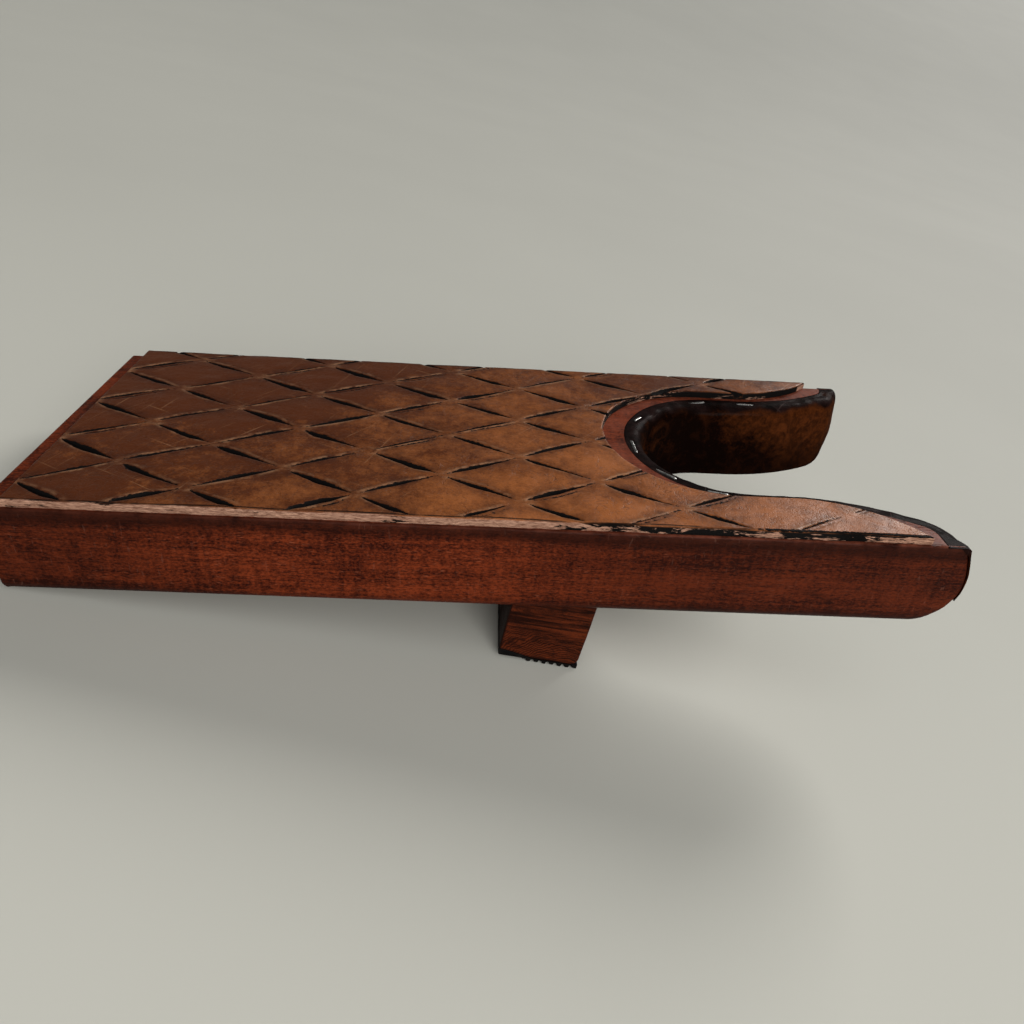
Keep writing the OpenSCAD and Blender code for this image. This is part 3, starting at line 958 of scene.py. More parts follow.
def board_mesh(j):
    """Closed rings up the board's outside, each from the wood's profile, with a cap at either end; then
    the prong tips are lifted and bellied, and the sides are given a hand-worked unevenness."""
    levels = [("bottom", 0.0, 0.0, 1.0)]
    levels += [("bottom", a, 0.0, 0.0) for a in np.linspace(0, 1, 8)]
    levels += [("wall", a, 0.0, 0.0) for a in np.linspace(0, 1, 14)[1:-1]]
    levels += [("top", a, 0.0, 0.0) for a in np.linspace(0, 1, 8)]
    levels += [("top", 1.0, 0.5, 0.0), ("top", 1.0, 1.0, 0.0), ("top", 1.0, 1.0, 0.7)]
    rings = np.array([board_ring(j, *level) for level in levels])
    mesh = ring_mesh("board_mesh", rings / MM)
    with editing(mesh) as work:
        for x in TIP_CUTS:
            everything = work.verts[:] + work.edges[:] + work.faces[:]
            bmesh.ops.bisect_plane(work, geom=everything, plane_co=(x / MM, 0, 0), plane_no=(1, 0, 0))
        bmesh.ops.triangulate(work, faces=[f for f in work.faces if len(f.verts) > 4])
    points = mesh_points(mesh) * MM
    half = j.board_w / 2
    outer = smooth(3.6, 0.8, half - np.abs(points[:, 1]))
    points[:, 0] += TIP_FLARE * outer * smooth(j.board_l - 8, j.board_l - 2.5, points[:, 0])
    points = lift_tips(j, points)
    off_side = half - np.abs(points[:, 1])
    worked = ripple(11, points * (1, 0.2, 1), 60) * 0.10 + ripple(12, points * (1, 0.2, 1), 17) * 0.04
    points[:, 1] -= np.sign(points[:, 1]) * (0.14 + worked) * (off_side < 1.5)
    high = points[:, 2] / j.board_t
    # Painted shade: the sides darken towards the underside, in a band under the top arris, and towards both
    # ends where the light falls off.
    low_shade = smooth(0.22, 0.02, high) * (off_side < 5)
    top_shade = smooth(0.78, 0.95, high) * (off_side < 0.95)
    end_shade = 0.46 * smooth(90, 15, points[:, 0]) + 0.52 * smooth(130, 220, points[:, 0])
    note(mesh, "shade", np.clip(0.42 * low_shade + 0.82 * top_shade + end_shade * (off_side < 5), 0, 0.90))
    on_top = smooth(j.board_t - 0.5, j.board_t - 0.05, points[:, 2])
    arris = bell(off_side - 0.5, 0.5) * bell(points[:, 2] - j.board_t + 0.3, 0.5)
    bare = 0.10 + 0.42 * smooth(150, 200, points[:, 0])
    note(mesh, "rubbed", np.clip(bare * on_top + 0.22 * arris, 0, 1))
    set_points(mesh, in_use(j, points))
    return mesh


# ---------------------------------------------------------------- the leather top


def leather_outline(j, inset):
    """The leather's outline, drawn back by inset: a straight heel end and sides, and round the notch a
    wider half circle, a straight, and a flare that runs out at each side."""
    half = j.board_w / 2 - j.side_margin - inset
    shift = j.notch_shift
    r = j.leather_notch_r + inset
    flare = j.leather_flare_r - inset
    flare_y = j.leather_notch_r + j.leather_flare_r
    parts = []
    for side in (1, -1):
        room = flare_y - (half - side * shift)
        last = math.acos(max(-1.0, min(1.0, room / flare)))
        turn = np.linspace(last, 0, ARC_STEPS // 2)
        reach = 1.0 if side > 0 else NEAR_POINT_SHARE
        flare_line = side * (flare_y - flare * np.cos(turn)) + shift
        parts.append((j.flare_x + reach * flare * np.sin(turn), flare_line))
    far, near = parts
    turn = np.linspace(QUARTER_TURN, 3 * QUARTER_TURN, ARC_STEPS)
    round_part = (j.leather_round_x + r * np.cos(turn), r * np.sin(turn) + shift)
    far_straight = np.linspace(j.flare_x, j.leather_round_x, 14)[1:-1]
    near_straight = far_straight[::-1]
    heel = j.heel_margin + inset
    near_side = np.linspace(near[0][0], heel, 120)[1:]
    heel_line = np.linspace(-half, half, 60)[1:]
    far_side = np.linspace(heel, far[0][0], 120)[1:-1]
    outline = [
        far,
        (far_straight, 0 * far_straight + r + shift),
        round_part,
        (near_straight, 0 * near_straight - r + shift),
        (near[0][::-1], near[1][::-1]),
        (near_side, 0 * near_side - half),
        (0 * heel_line + heel, heel_line),
        (far_side, 0 * far_side + half),
    ]
    return [np.concatenate(values) for values in zip(*outline)]


def leather_blank(j):
    """The leather's cutter: its outline carried up with a rounded top edge, closed above and below."""
    levels = [
        (0.10, 0.0),
        (0.0, 0.5),
        (0.0, 1.9),
        (0.06, 2.3),
        (0.20, 2.62),
        (0.42, 2.84),
        (0.75, 2.98),
        (1.3, 3.10),
        (3.0, 3.45),
        (5.0, 3.9),
    ]
    rings = []
    for inset, z in levels:
        x, y = leather_outline(j, inset)
        places = np.stack([x, y], axis=-1)
        ragged = np.abs(ripple(21, places, 22) * 0.16 + ripple(22, places, 6) * 0.07)
        x = x - ragged * (x > NOTCH_SIDE_X)
        y = y - np.sign(y) * ragged * (np.abs(y) > j.board_w / 2 - 3)
        rings.append(np.stack([x, y, 0 * x + z + j.board_t], axis=-1))
    return ring_mesh("leather_blank", np.array(rings) / MM)


def cut_strength(t, start, end, peak, power):
    """Width of a carved cut along its stretch, from 0 to 1: a quick round start, its widest at peak, then a
    long taper."""
    u = np.clip((t - start) / (end - start), 0, 1)
    rise = np.sqrt(np.clip(u / peak, 0, 1))
    fall = np.clip((1 - u) / (1 - peak), 0, 1) ** power
    return np.minimum(rise, fall)


def carved_face(j, x, y):
    """Height of the leather's face and its masks. Cuts run along two families of slanting lines, a and b
    whole numbers. Each cut is a V across its line, as wide and deep as its strength, fading before each
    crossing; the leather swells between cuts and lifts in a lip beside them."""
    p = (x - j.cross_x) / j.half_l
    q = (y - j.cross_y) / j.half_w
    side = math.hypot(j.half_l, j.half_w)
    spacing = 2 * j.half_l * j.half_w / side
    places = np.stack([x, y], axis=-1)
    a = (p + q) / 2 + 0.006 * ripple(31, places, 70)
    b = (p - q) / 2 + 0.006 * ripple(32, places, 70)
    half_w = j.board_w / 2 - j.side_margin
    to_edge = np.minimum(half_w - np.abs(y), x - j.heel_margin + 0.8)
    near_prong = y < -PRONG_SIDE_Y
    far_point = (x > 262) & (y > PRONG_SIDE_Y)
    by_edge = smooth(0.5, 2.6, np.where(y > 0, to_edge + 1.0, to_edge)) * np.where(far_point, 0, 1)
    depth = 0 * x
    ink_and_shade = 0 * x
    lip = 0 * x
    near_cut = 0 * x
    for family, (across, along) in enumerate(((a, b), (b, a))):
        rng = np.random.default_rng(41 + family)
        table = rng.uniform(size=(8, 2 * PICKS, 2 * PICKS))
        line = np.round(across).astype(int)
        stretch = np.floor(along).astype(int)
        pick = table[:, line + PICKS, stretch + PICKS]
        t = along - np.floor(along)
        bold = 1.0 if family == 0 else 0.62
        off = (across - np.round(across)) * spacing
        wander = (pick[0] - 0.5) * 0.9 * np.sin(t * HALF_TURN) + (pick[1] - 0.5) * 0.8 * (t - 0.5)
        off = off - wander
        start = 0.07 + 0.06 * pick[2]
        end = 0.97 - 0.09 * pick[3]
        peak = 0.20 + 0.58 * pick[4]
        strength = cut_strength(t, start, end, peak, 0.8 + 0.5 * pick[5]) * by_edge
        if family == 0:
            only_nick = 0.5 * smooth(0.30, 0.15, t) * (line == 3) * (stretch == 5)
            strength = strength * np.where(near_prong & (line > 2) & (stretch > 4), only_nick, 1)
        else:
            short = smooth(0.5, 0.4, t) * (stretch == 3)
            strength = strength * np.where(near_prong & (line > 5) & (stretch > 2), short, 1)
            strength = strength * np.where(near_prong & (line > 6), 0, 1)
        uncut = near_prong & (x > 228) & (strength < 0.01)
        weight = bold * (0.70 + 0.42 * pick[6])
        if family == 1:
            heavy = smooth(0.50, 0.72, pick[7])
            weight = weight * (1 + 0.60 * heavy) * np.where(near_prong & (x > 195), 0.5, 1)
        half = np.maximum(j.cut_w / 2 * weight * strength, 1e-3)
        lean_off = off + 0.25 * half
        trough = np.clip(1 - np.abs(lean_off) / half, 0, 1)
        cut = j.cut_d * weight * np.sqrt(strength) * np.minimum(trough * 1.6, 1)
        here = smooth(0.02, 0.2, strength)
        second = (0.3 + 0.7 * family) * smooth(0.35, 0.55, pick[5]) * strength
        second = second * bell(off - half - 1.1 - 0.7 * (t - 0.5), 0.26)
        line_mark = 0.35 * bell(off, 0.35) * (0.6 if family == 0 else 1.0) * by_edge
        line_mark = np.where(uncut, 0, line_mark * smooth(0.03, 0.09, t) * smooth(0.99, 0.92, t))
        depth = np.maximum(depth, cut + 0.30 * second + 0.12 * line_mark)
        # The cuts' black: dye and painted shade together.
        ink_and_shade = np.maximum(ink_and_shade, np.clip(cut / j.cut_d * 3.0, 0, 1) * here)
        ink_and_shade = np.maximum(ink_and_shade, 0.62 * second)
        ink_and_shade = np.maximum(ink_and_shade, line_mark * smooth(0.15, 0.5, pick[1] + 0.3 * family))
        raised = bell(off + np.sign(pick[3] - 0.4) * (half + 0.55), 0.42) * (0.35 + 0.65 * here)
        nick = bell(off, 1.0) * bell((t - start + 0.015) * side, 0.9) * (0.5 + 0.5 * pick[4])
        raised = np.where(uncut, 0, raised * (0.40 + 0.35 * family))
        lip = np.maximum(lip, np.maximum(raised, np.where(uncut, 0, nick * 0.9)))
        near_cut = np.maximum(near_cut, bell(off, 2.4) * np.where(uncut, 0, 0.35 + 0.65 * here))
    da = np.abs(a - np.round(a)) * 2
    db = np.abs(b - np.round(b)) * 2
    swell = (da * db) ** 0.45
    height = j.leather_t - 0.28 + 0.26 * swell + 0.10 * lip
    height = height + 0.07 * ripple(33, places, 34) + 0.03 * ripple(34, places, 9)
    height = height - depth
    return height, ink_and_shade, lip, near_cut


def lattice_steps(low, high):
    """Places along one family of lines: close together beside each whole number, wider between."""
    close = np.array([0.0, 0.010, 0.020, 0.031, 0.043, 0.057, 0.074, 0.096, 0.125])
    between = np.linspace(0.16, 0.84, 18)
    unit = np.concatenate([close, between, 1 - close[:0:-1]])
    whole = np.arange(math.floor(low), math.ceil(high))
    steps = (whole[:, None] + unit[None, :]).reshape(-1)
    return steps[(steps >= low) & (steps <= high)]


def leather_hide(j):
    """The carved face as a closed slab: a grid along the two families of cuts, kept near the board, with a
    skirt below its border and one face underneath."""
    a, b = np.meshgrid(lattice_steps(-2.6, 7.7), lattice_steps(-2.9, 7.3), indexing="ij")
    x = j.cross_x + j.half_l * (a + b)
    y = j.cross_y + j.half_w * (a - b)
    height = carved_face(j, x, y)[0]
    points = np.stack([x, y, height + j.board_t], axis=-1).reshape(-1, 3)
    quads = grid_quads(*a.shape)
    middle = points[quads].mean(axis=1)
    margin = 2.5
    keep = (middle[:, 0] > j.heel_margin - margin) & (middle[:, 0] < j.board_l)
    keep &= np.abs(middle[:, 1]) < j.board_w / 2 + margin
    notch_y = middle[:, 1] - j.notch_shift
    inner = j.leather_notch_r - margin
    in_notch = (middle[:, 0] > j.leather_round_x) & (np.abs(notch_y) < inner)
    in_notch |= np.hypot(middle[:, 0] - j.leather_round_x, notch_y) < inner
    quads = quads[keep & ~in_notch]
    used, flat = np.unique(quads, return_inverse=True)
    points = points[used]
    quads = flat.reshape(-1, 4)
    edges = np.stack([quads, np.roll(quads, -1, axis=1)], axis=-1).reshape(-1, 2)
    total = len(points)
    forward = edges[:, 0] * total + edges[:, 1]
    backward = edges[:, 1] * total + edges[:, 0]
    border = edges[~np.isin(forward, backward)]
    rim_points, rim_flat = np.unique(border, return_inverse=True)
    lower = points[rim_points] * (1, 1, 0) + (0, 0, j.board_t - 1.5)
    below = rim_flat.reshape(-1, 2) + total
    skirt = np.stack([border[:, 1], border[:, 0], below[:, 0], below[:, 1]], axis=-1)
    mesh = bpy.data.meshes.new("leather_hide")
    faces = np.concatenate([quads, skirt]).tolist()
    mesh.from_pydata((np.concatenate([points, lower]) / MM).tolist(), [], faces)
    with editing(mesh) as work:
        open_edges = [edge for edge in work.edges if edge.is_boundary]
        bmesh.ops.edgeloop_fill(work, edges=open_edges)
        bmesh.ops.recalc_face_normals(work, faces=work.faces)
    return mesh


def leather_mesh(j):
    """The carved slab trimmed to the leather's outline, with its masks worked out at every vertex."""
    hide = show("leather_hide", leather_hide(j))
    blank = show("leather_blank", leather_blank(j))
    trim = hide.modifiers.new("trim", "BOOLEAN")
    trim.operation = "INTERSECT"
    trim.solver = "EXACT"
    trim.object = blank
    bpy.context.view_layer.update()
    shown = hide.evaluated_get(bpy.context.evaluated_depsgraph_get())
    mesh = bpy.data.meshes.new_from_object(shown)
    mesh.name = "leather_top_mesh"
    for thing in (hide, blank):
        spare = thing.data
        bpy.data.objects.remove(thing)
        bpy.data.meshes.remove(spare)
    with editing(mesh) as work:
        bmesh.ops.remove_doubles(work, verts=work.verts, dist=8e-6)
        bmesh.ops.dissolve_degenerate(work, edges=work.edges, dist=4e-6)
    mesh.materials.clear()
    points = mesh_points(mesh) * MM
    height, ink_and_shade, lip, near_cut = carved_face(j, points[:, 0], points[:, 1])
    above = points[:, 2] - j.board_t
    half = j.board_w / 2 - j.side_margin
    off_side = half - np.abs(points[:, 1])
    on_face = smooth(0.35, 0.12, height - above)
    low_face = np.clip(1 - on_face, 0, 1) * smooth(2.90, 2.66, above)
    dyed_edge = smooth(1.5, 0.7, off_side) * smooth(226, 242, points[:, 0]) * (points[:, 1] < 0)
    note(mesh, "ink_and_shade", np.clip(np.maximum(ink_and_shade, 0.8 * dyed_edge) * on_face, 0, 1))
    note(mesh, "lip", np.clip(lip * on_face, 0, 1))
    note(mesh, "near_cut", np.clip(near_cut * on_face, 0, 1))
    note(mesh, "cut_face", low_face)
    round_notch = np.hypot(points[:, 0] - j.leather_round_x, points[:, 1] - j.notch_shift)
    by_notch = (points[:, 0] > NOTCH_SIDE_X) & (off_side > 2) & (round_notch < j.leather_notch_r + 30)
    toward_tip = smooth(150, 215, points[:, 0]) * smooth(284, 262, points[:, 0]) * 0.19
    tip_line = 0.3 * smooth(235, 262, points[:, 0])
    by_side = toward_tip - 0.04 + (0.06 + tip_line) * smooth(2.1, 2.6, above)
    note(mesh, "paint", np.where(by_notch, 0.19, by_side))
    set_points(mesh, in_use(j, points))
    return mesh


# ---------------------------------------------------------------- the notch lining


def lining_mesh(j):
    """The lining's cross-section carried along the notch's edge and round both prong ends: up the wall,
    over in a quarter round, flat to the rim's cut edge, and back underneath. It thins to a skived edge and
    a tighter roll at the prongs' outer corners."""
    s = np.concatenate(
        [
            -np.linspace(j.tip_end + j.end_far - 0.05, j.tip_end, 5)[:-1],
            -np.linspace(j.tip_end, 0, 190),
            np.linspace(0, j.tip_end, 190)[1:],
            np.linspace(j.tip_end, j.tip_end + j.end_near - 0.05, 14)[1:],
        ]
    )
    ends = near_ends(j, s)[:, None]
    r = j.roll_r * (1 - ends) + 1.8 * ends
    roll = np.linspace(0, QUARTER_TURN, 11)
    up = np.linspace(0, 1, 15)[:-1]
    flat = np.linspace(0, 1, 6)[1:]
    top = j.board_t
    wall_z = 0.5 + (top - r - 0.5) * up
    roll_in = r - r * np.cos(roll)
    roll_z = top - r + r * np.sin(roll)
    flat_in = r + (j.rim_w - 0.35 - r) * flat
    edge_in = np.array([j.rim_w - 0.05, j.rim_w + 0.10, j.rim_w + 0.02])
    edge_z = np.array([top - 0.02, top - 0.12, top - 0.38])
    thin = 1 - 0.75 * ends
    back_in = np.array([5.6, 4.3, 3.2, 2.6, 2.2, 2.05, 2.05, 2.05, 1.7, 0.35])
    back_z = np.array([29.9, 29.5, 28.6, 26.5, 22.0, 15.0, 8.0, 0.5, 0.12, 0.12])
    is_wall = np.array([0, 0, 0, 1, 1, 1, 1, 1, 1, 0])
    back_in = back_in * (1 - is_wall + is_wall * thin)
    is_top = np.array([1, 1, 1, 0, 0, 0, 0, 0, 0, 0])
    back_z = back_z + is_top * ends * (top - 0.42 - back_z)
    full = np.zeros((len(s), 1))
    inset_grid = np.concatenate([0 * wall_z, roll_in, flat_in, full + edge_in, full + back_in], axis=1)
    z_grid = np.concatenate([wall_z, roll_z, 0 * flat_in + top, full + edge_z, back_z], axis=1)
    outer = len(up) + len(roll) + len(flat) + len(edge_in)
    is_out = (np.arange(z_grid.shape[1]) < outer).astype(float)
    s_grid = np.broadcast_to(s[:, None], z_grid.shape)
    out_grid = np.broadcast_to(is_out, z_grid.shape)
    place = np.stack([s_grid, z_grid], axis=-1)
    rim_part = smooth(j.rim_w - 1.5, j.rim_w, inset_grid)
    inset_now = inset_grid + rim_part * 0.24 * ripple(51, place * (1, 0), 15)
    wall_part = smooth(29.5, 24.0, z_grid) * smooth(0.0, 3.0, z_grid) * out_grid * (1 - ends)
    inset_now = inset_now + wall_part * (0.22 * ripple(52, place, 26) + 0.12 * ripple(53, place, 8) + 0.15)
    crowded = smooth(60, 30, np.abs(s_grid))
    pleats = np.sin(s_grid * 2 * HALF_TURN / 4.7 + 1.5 * np.sin(s_grid / 9)) * crowded
    on_roll = bell(inset_grid - 3.6, 1.6) * out_grid * smooth(24, 28, z_grid)
    z_grid = z_grid + on_roll * (0.05 * pleats + 0.08 * ripple(54, place, 7)) - 0.05 * on_roll
    for staple in STAPLES:
        pressed = bell(s_grid - staple, 4.2) * bell(inset_grid - j.staple_inset, 1.1) * out_grid
        z_grid = z_grid - STAPLE_PRESS * pressed * smooth(27, 29, z_grid)
    beyond = smooth(j.tip_end - 3, j.tip_end + 2, np.abs(s_grid)) * out_grid
    inset_now = inset_now + 0.50 * beyond * smooth(16, 2, z_grid)
    z_grid = z_grid + ends * END_LIFT * np.clip(1 - z_grid / top, 0, 1)
    x, y = notch_edge(j, s_grid, inset_now)
    points = lift_tips(j, np.stack([x, y, z_grid], axis=-1))
    half = j.board_w / 2
    points[..., 1] = np.clip(points[..., 1], -half + 0.03, half - 0.03)
    mesh = ring_mesh("notch_lining_mesh", in_use(j, points))
    final = back_to_board(j, mesh_points(mesh))
    edge_noise = 0.7 * ripple(55, final, 9)
    note(mesh, "rim", smooth(top - 2.7, top - 0.9, final[:, 2] + edge_noise))
    # Painted shade: darker towards the bottom of the wall, deep in the notch.
    note(mesh, "low", smooth(0.62 * top, 0.10 * top, final[:, 2]))
    # Painted light: rises towards the far prong's tip, where the wall is lit, and is stored as worn.
    toward_tip = smooth(j.round_x + 4, j.board_l - 8, final[:, 0]) * (final[:, 1] > 0)
    note(mesh, "worn", np.clip(0.15 + 0.85 * toward_tip + 0.25 * ripple(56, final, 30), 0, 1))
    return mesh


# ---------------------------------------------------------------- staples, cleat and tread


def staples_mesh(j):
    """Staples of flattened wire: a rounded section carried up one leg, round a bend, along the crown, and
    down the other leg to a point, set at each place along the rim and turned with it."""
    bend = 0.55
    reach = j.crown_l / 2 - j.wire_t / 2
    top = j.wire_t / 2
    turn = np.linspace(0, QUARTER_TURN, 5)
    down = np.array([-j.leg_l, -j.leg_l + 1.0, -3.0])
    leg_u = np.concatenate([0 * down - reach, -reach + bend - bend * np.cos(turn)])
    leg_z = np.concatenate([down, top - bend + bend * np.sin(turn)])
    crown_u = np.linspace(-reach + bend, reach - bend, 7)[1:-1]
    u = np.concatenate([leg_u, crown_u, -leg_u[::-1]])
    z = np.concatenate([leg_z, 0 * crown_u + top, leg_z[::-1]])
    path = np.stack([u, z], axis=-1)
    way = np.gradient(path, axis=0)
    way /= np.linalg.norm(way, axis=1, keepdims=True)
    normal = np.stack([-way[:, 1], way[:, 0]], axis=-1)
    size = np.ones(len(path))
    size[[0, -1]] = 0.15
    angle = (np.arange(12) + 0.5) / 12 * 2 * HALF_TURN
    sect_w = np.sign(np.cos(angle)) * np.abs(np.cos(angle)) ** 0.55 * j.wire_w / 2
    sect_t = np.sign(np.sin(angle)) * np.abs(np.sin(angle)) ** 0.55 * j.wire_t / 2
    wire_u = path[:, None, 0] + normal[:, None, 0] * sect_t[None] * size[:, None]
    wire_z = path[:, None, 1] + normal[:, None, 1] * sect_t[None]
    wire_v = np.broadcast_to(sect_w, wire_u.shape) * size[:, None]
    one = np.stack([wire_u, wire_v, wire_z], axis=-1)
    rows, columns = one.shape[:2]
    quads = grid_quads(rows, columns, wrap_columns=True)
    rng = np.random.default_rng(61)
    all_points = []
    all_quads = []
    caps = []
    for number, place in enumerate(STAPLES):
        x0, y0 = notch_edge(j, place, j.staple_inset)
        x1, y1 = notch_edge(j, place + 0.1, j.staple_inset)
        heading = math.atan2(y1 - y0, x1 - x0) + rng.normal() * 0.05
        lean = rng.normal() * 0.035
        sink = SUNK[number]
        u_axis = np.array([math.cos(heading), math.sin(heading), lean])
        v_axis = np.array([-math.sin(heading), math.cos(heading), 0.0])
        centre = np.array([float(x0), float(y0), j.board_t - sink])
        wire = centre + one @ np.stack([u_axis, v_axis, [0, 0, 1.0]])
        first = number * rows * columns
        all_points.append(wire.reshape(-1, 3))
        all_quads.append(quads + first)
        caps.append(np.arange(columns) + first)
        caps.append(np.arange(columns) + first + (rows - 1) * columns)
    points = in_use(j, np.concatenate(all_points))
    return mesh_of("lining_staples_mesh", points, np.concatenate(all_quads), caps)


def swept_bar(section_x, section_z, ends):
    """A closed cross-section carried across the jack, drawn in towards its middle by each end's inset."""
    middle_x = (section_x.min() + section_x.max()) / 2
    middle_z = (section_z.min() + section_z.max()) / 2
    span_x = (section_x.max() - section_x.min()) / 2
    span_z = (section_z.max() - section_z.min()) / 2
    rings = []
    for y, inset in ends:
        x = middle_x + (section_x - middle_x) * (1 - inset / span_x)
        z = middle_z + (section_z - middle_z) * (1 - inset / span_z)
        rings.append(np.stack([x, 0 * x + y, z], axis=-1))
    return np.array(rings)


def end_levels(length_y, radius, count):
    """Places across the jack with a quarter round at both ends."""
    turn = np.linspace(0, QUARTER_TURN, 6)
    half = length_y / 2
    first = [(-half + radius - radius * math.sin(a), radius - radius * math.cos(a)) for a in turn[::-1]]
    cap = [(-half, radius + 0.8)]
    inner = [(y, 0.0) for y in np.linspace(-half + radius, half - radius, count)[1:-1]]
    last = [(-y, inset) for y, inset in first[::-1]]
    return cap + first + inner + last + [(half, radius + 0.8)]


def tread_top(j, x):
    """Height of the tread's upper face, which the cleat's hollow-worn foot sits on: full thickness at the
    heel side and falling in an S-shaped cubic to a little over half of it at the front."""
    worn = smooth(0.02, 0.50, (x - j.cleat_back) / j.cleat_w)
    return j.tread_t + 0.3 - TREAD_WEAR * worn


def cleat_mesh(j):
    """A four-sided section, following the tread below and the board's slope above, with rounded lower
    edges, the front one wider."""
    x0, x1 = j.cleat_back, j.cleat_front
    slope = math.tan(j.tilt)
    top0 = (x0 + j.middle_x) * slope - j.heel_drop
    top1 = (x1 + j.middle_x) * slope - j.heel_drop
    r_back, r_front = 0.8, 2.6
    turn = np.linspace(0, QUARTER_TURN, 7)
    base0 = tread_top(j, x0)
    base1 = tread_top(j, x1)
    low = np.linspace(x0 + r_back, x1 - r_front, 15)[1:-1]
    front = np.linspace(base1 + r_front, top1, 9)[1:]
    upper = np.linspace(x1, x0, 9)[1:-1]
    back = np.linspace(top0, base0 + r_back, 9)[:-1]
    left = (x0 + r_back - r_back * np.cos(turn), base0 + r_back - r_back * np.sin(turn))
    right = (x1 - r_front + r_front * np.sin(turn), base1 + r_front - r_front * np.cos(turn))
    slope_z = (upper + j.middle_x) * slope - j.heel_drop
    x = np.concatenate([left[0], low, right[0], 0 * front + x1, upper, 0 * back + x0])
    z = np.concatenate([left[1], tread_top(j, low), right[1], front, slope_z, back])
    mesh = ring_mesh("cleat_mesh", swept_bar(x, z, end_levels(j.cleat_len, 0.7, 40)) / MM)
    points = mesh_points(mesh) * MM
    base = tread_top(j, points[:, 0])
    points[:, 0] += 0.10 * ripple(71, points * (0.3, 1, 1), 24) * smooth(0.5, 2.0, points[:, 2] - base)
    top = (points[:, 0] + j.middle_x) * slope - j.heel_drop
    # Painted shade: darker just under the board, just above the tread, and over the heel-side face.
    shade = 0.55 * smooth(3.5, 0.0, top - points[:, 2]) + 0.45 * smooth(1.6, 0.0, points[:, 2] - base)
    shade = shade + 0.85 * smooth(x0 + 0.7, x0 + 0.2, points[:, 0])
    note(mesh, "shade", np.clip(shade, 0, 0.9))
    set_points(mesh, points / MM)
    return mesh


def tread_mesh(j):
    """A flat rubber strip whose underside rises and falls in rounded ribs from the front, carried across
    the jack with a slight wave."""
    x0, x1 = j.cleat_back, j.cleat_front
    across = np.linspace(x0, x1, 281)
    from_front = x1 - across
    phase = np.mod(from_front, j.rib_pitch)
    number = np.floor(from_front / j.rib_pitch)
    ramp = 0.22
    climb = smooth(-ramp, ramp, phase + (number == 0))
    fall = smooth(j.rib_w + ramp, j.rib_w - ramp, phase)
    next_climb = smooth(j.rib_pitch - ramp, j.rib_pitch + ramp, phase)
    rise = np.maximum(np.minimum(climb, fall), next_climb)
    ribbed = number < j.rib_count - 0.5
    plain = smooth(0.9, -0.9, across - x0 - j.plain_w)
    rib_wear = np.array([0.25, 0.0, 0.05, 0.45, 0.2, 0.5, 0.35, 0.15, 0.3, 0.3, 0.3])
    nearest = np.round(from_front / j.rib_pitch).astype(int)
    wear = rib_wear[np.clip(nearest, 0, len(rib_wear) - 1)]
    groove = j.rib_h * (1 - np.where(ribbed, rise, 0) * (1 - 0.45 * wear))
    groove = groove * (1 - plain) + 1.15 * j.rib_h * plain
    edge = 0.6
    corner = np.clip((across - x0) / edge, 0, 1)
    groove = groove + edge * (1 - np.sqrt(1 - (1 - corner) ** 2))
    top_line = np.linspace(x1, x0, 29)[1:-1]
    roof1 = tread_top(j, x1) + 0.05
    roof0 = tread_top(j, x0) + 0.05
    up = np.linspace(groove[-1] + 0.2, roof1, 4)[:-1]
    down = np.linspace(roof0, groove[0] + 0.4, 5)[:-1]
    roof = tread_top(j, top_line) + 0.05
    x = np.concatenate([across, 0 * up + x1, [x1], top_line, 0 * down + x0])
    z = np.concatenate([groove, up, [roof1], roof, down])
    mesh = ring_mesh("cleat_tread_mesh", swept_bar(x, z, end_levels(j.cleat_len, 0.25, 30)) / MM)
    points = mesh_points(mesh) * MM
    uneven = ripple(81, points, 30)
    points[:, 2] += 0.05 * np.abs(uneven) * (points[:, 2] < 0.6)
    points[:, 2] = np.maximum(points[:, 2], 0)
    note(mesh, "rubbed", 0.45 * smooth(0.30, 0.02, points[:, 2]) * (0.6 + 0.4 * uneven))
    set_points(mesh, points / MM)
    return mesh


# ---------------------------------------------------------------- stage

CAMERA_PLACE = (-0.0242, -0.2548, 0.1835)
CAMERA_AIM = (0.0135, -0.0027, 0.0253)
CAMERA_ROLL = math.radians(14.52)
CAMERA_LENS = 27.6
KEY_TRAVEL = (-0.53, -0.645, -0.552)  # from the far right, above
SKY_TRAVEL = (-0.110, 0.616, -0.780)  # from the near side, above
FRONT_PLACE = (0.25, -1.05, 0.50)
FRONT_AIM = (0.0, 0.0, 0.02)
SKY_STRENGTH = 0.08
FLOOR_HALF = 9.0  # the floor's reach to either side, in metres
FLOOR_NEAR = -3.0
FLOOR_FAR = 13.0
BEND_START = 1.5
BEND_LENGTH = 2.5
FLOOR_SLOPE = 0.27  # rise per metre past the bend


def make_camera():
    """A camera that looks from its place to its aim, rolled about its own line of sight."""
    data = bpy.data.cameras.new("camera")
    data.sensor_width = 36.0
    data.lens = CAMERA_LENS
    data.clip_start = 0.01
    camera = show("camera", data)
    place = Vector(CAMERA_PLACE)
    sight = (Vector(CAMERA_AIM) - place).to_track_quat("-Z", "Y").to_matrix().to_4x4()
    camera.matrix_world = Matrix.Translation(place) @ sight @ Matrix.Rotation(CAMERA_ROLL, 4, "Z")
    bpy.context.scene.camera = camera


def make_light(name, place, aim, size, power, tint):
    """A square soft light at a place, turned to its aim."""
    data = bpy.data.lights.new(name, "AREA")
    data.shape = "RECTANGLE"
    data.size = size[0]
    data.size_y = size[1]
    data.energy = power
    data.color = tint
    place = Vector(place)
    turn = (Vector(aim) - place).to_track_quat("-Z", "Y").to_matrix().to_4x4()
    show(name, data).matrix_world = Matrix.Translation(place) @ turn


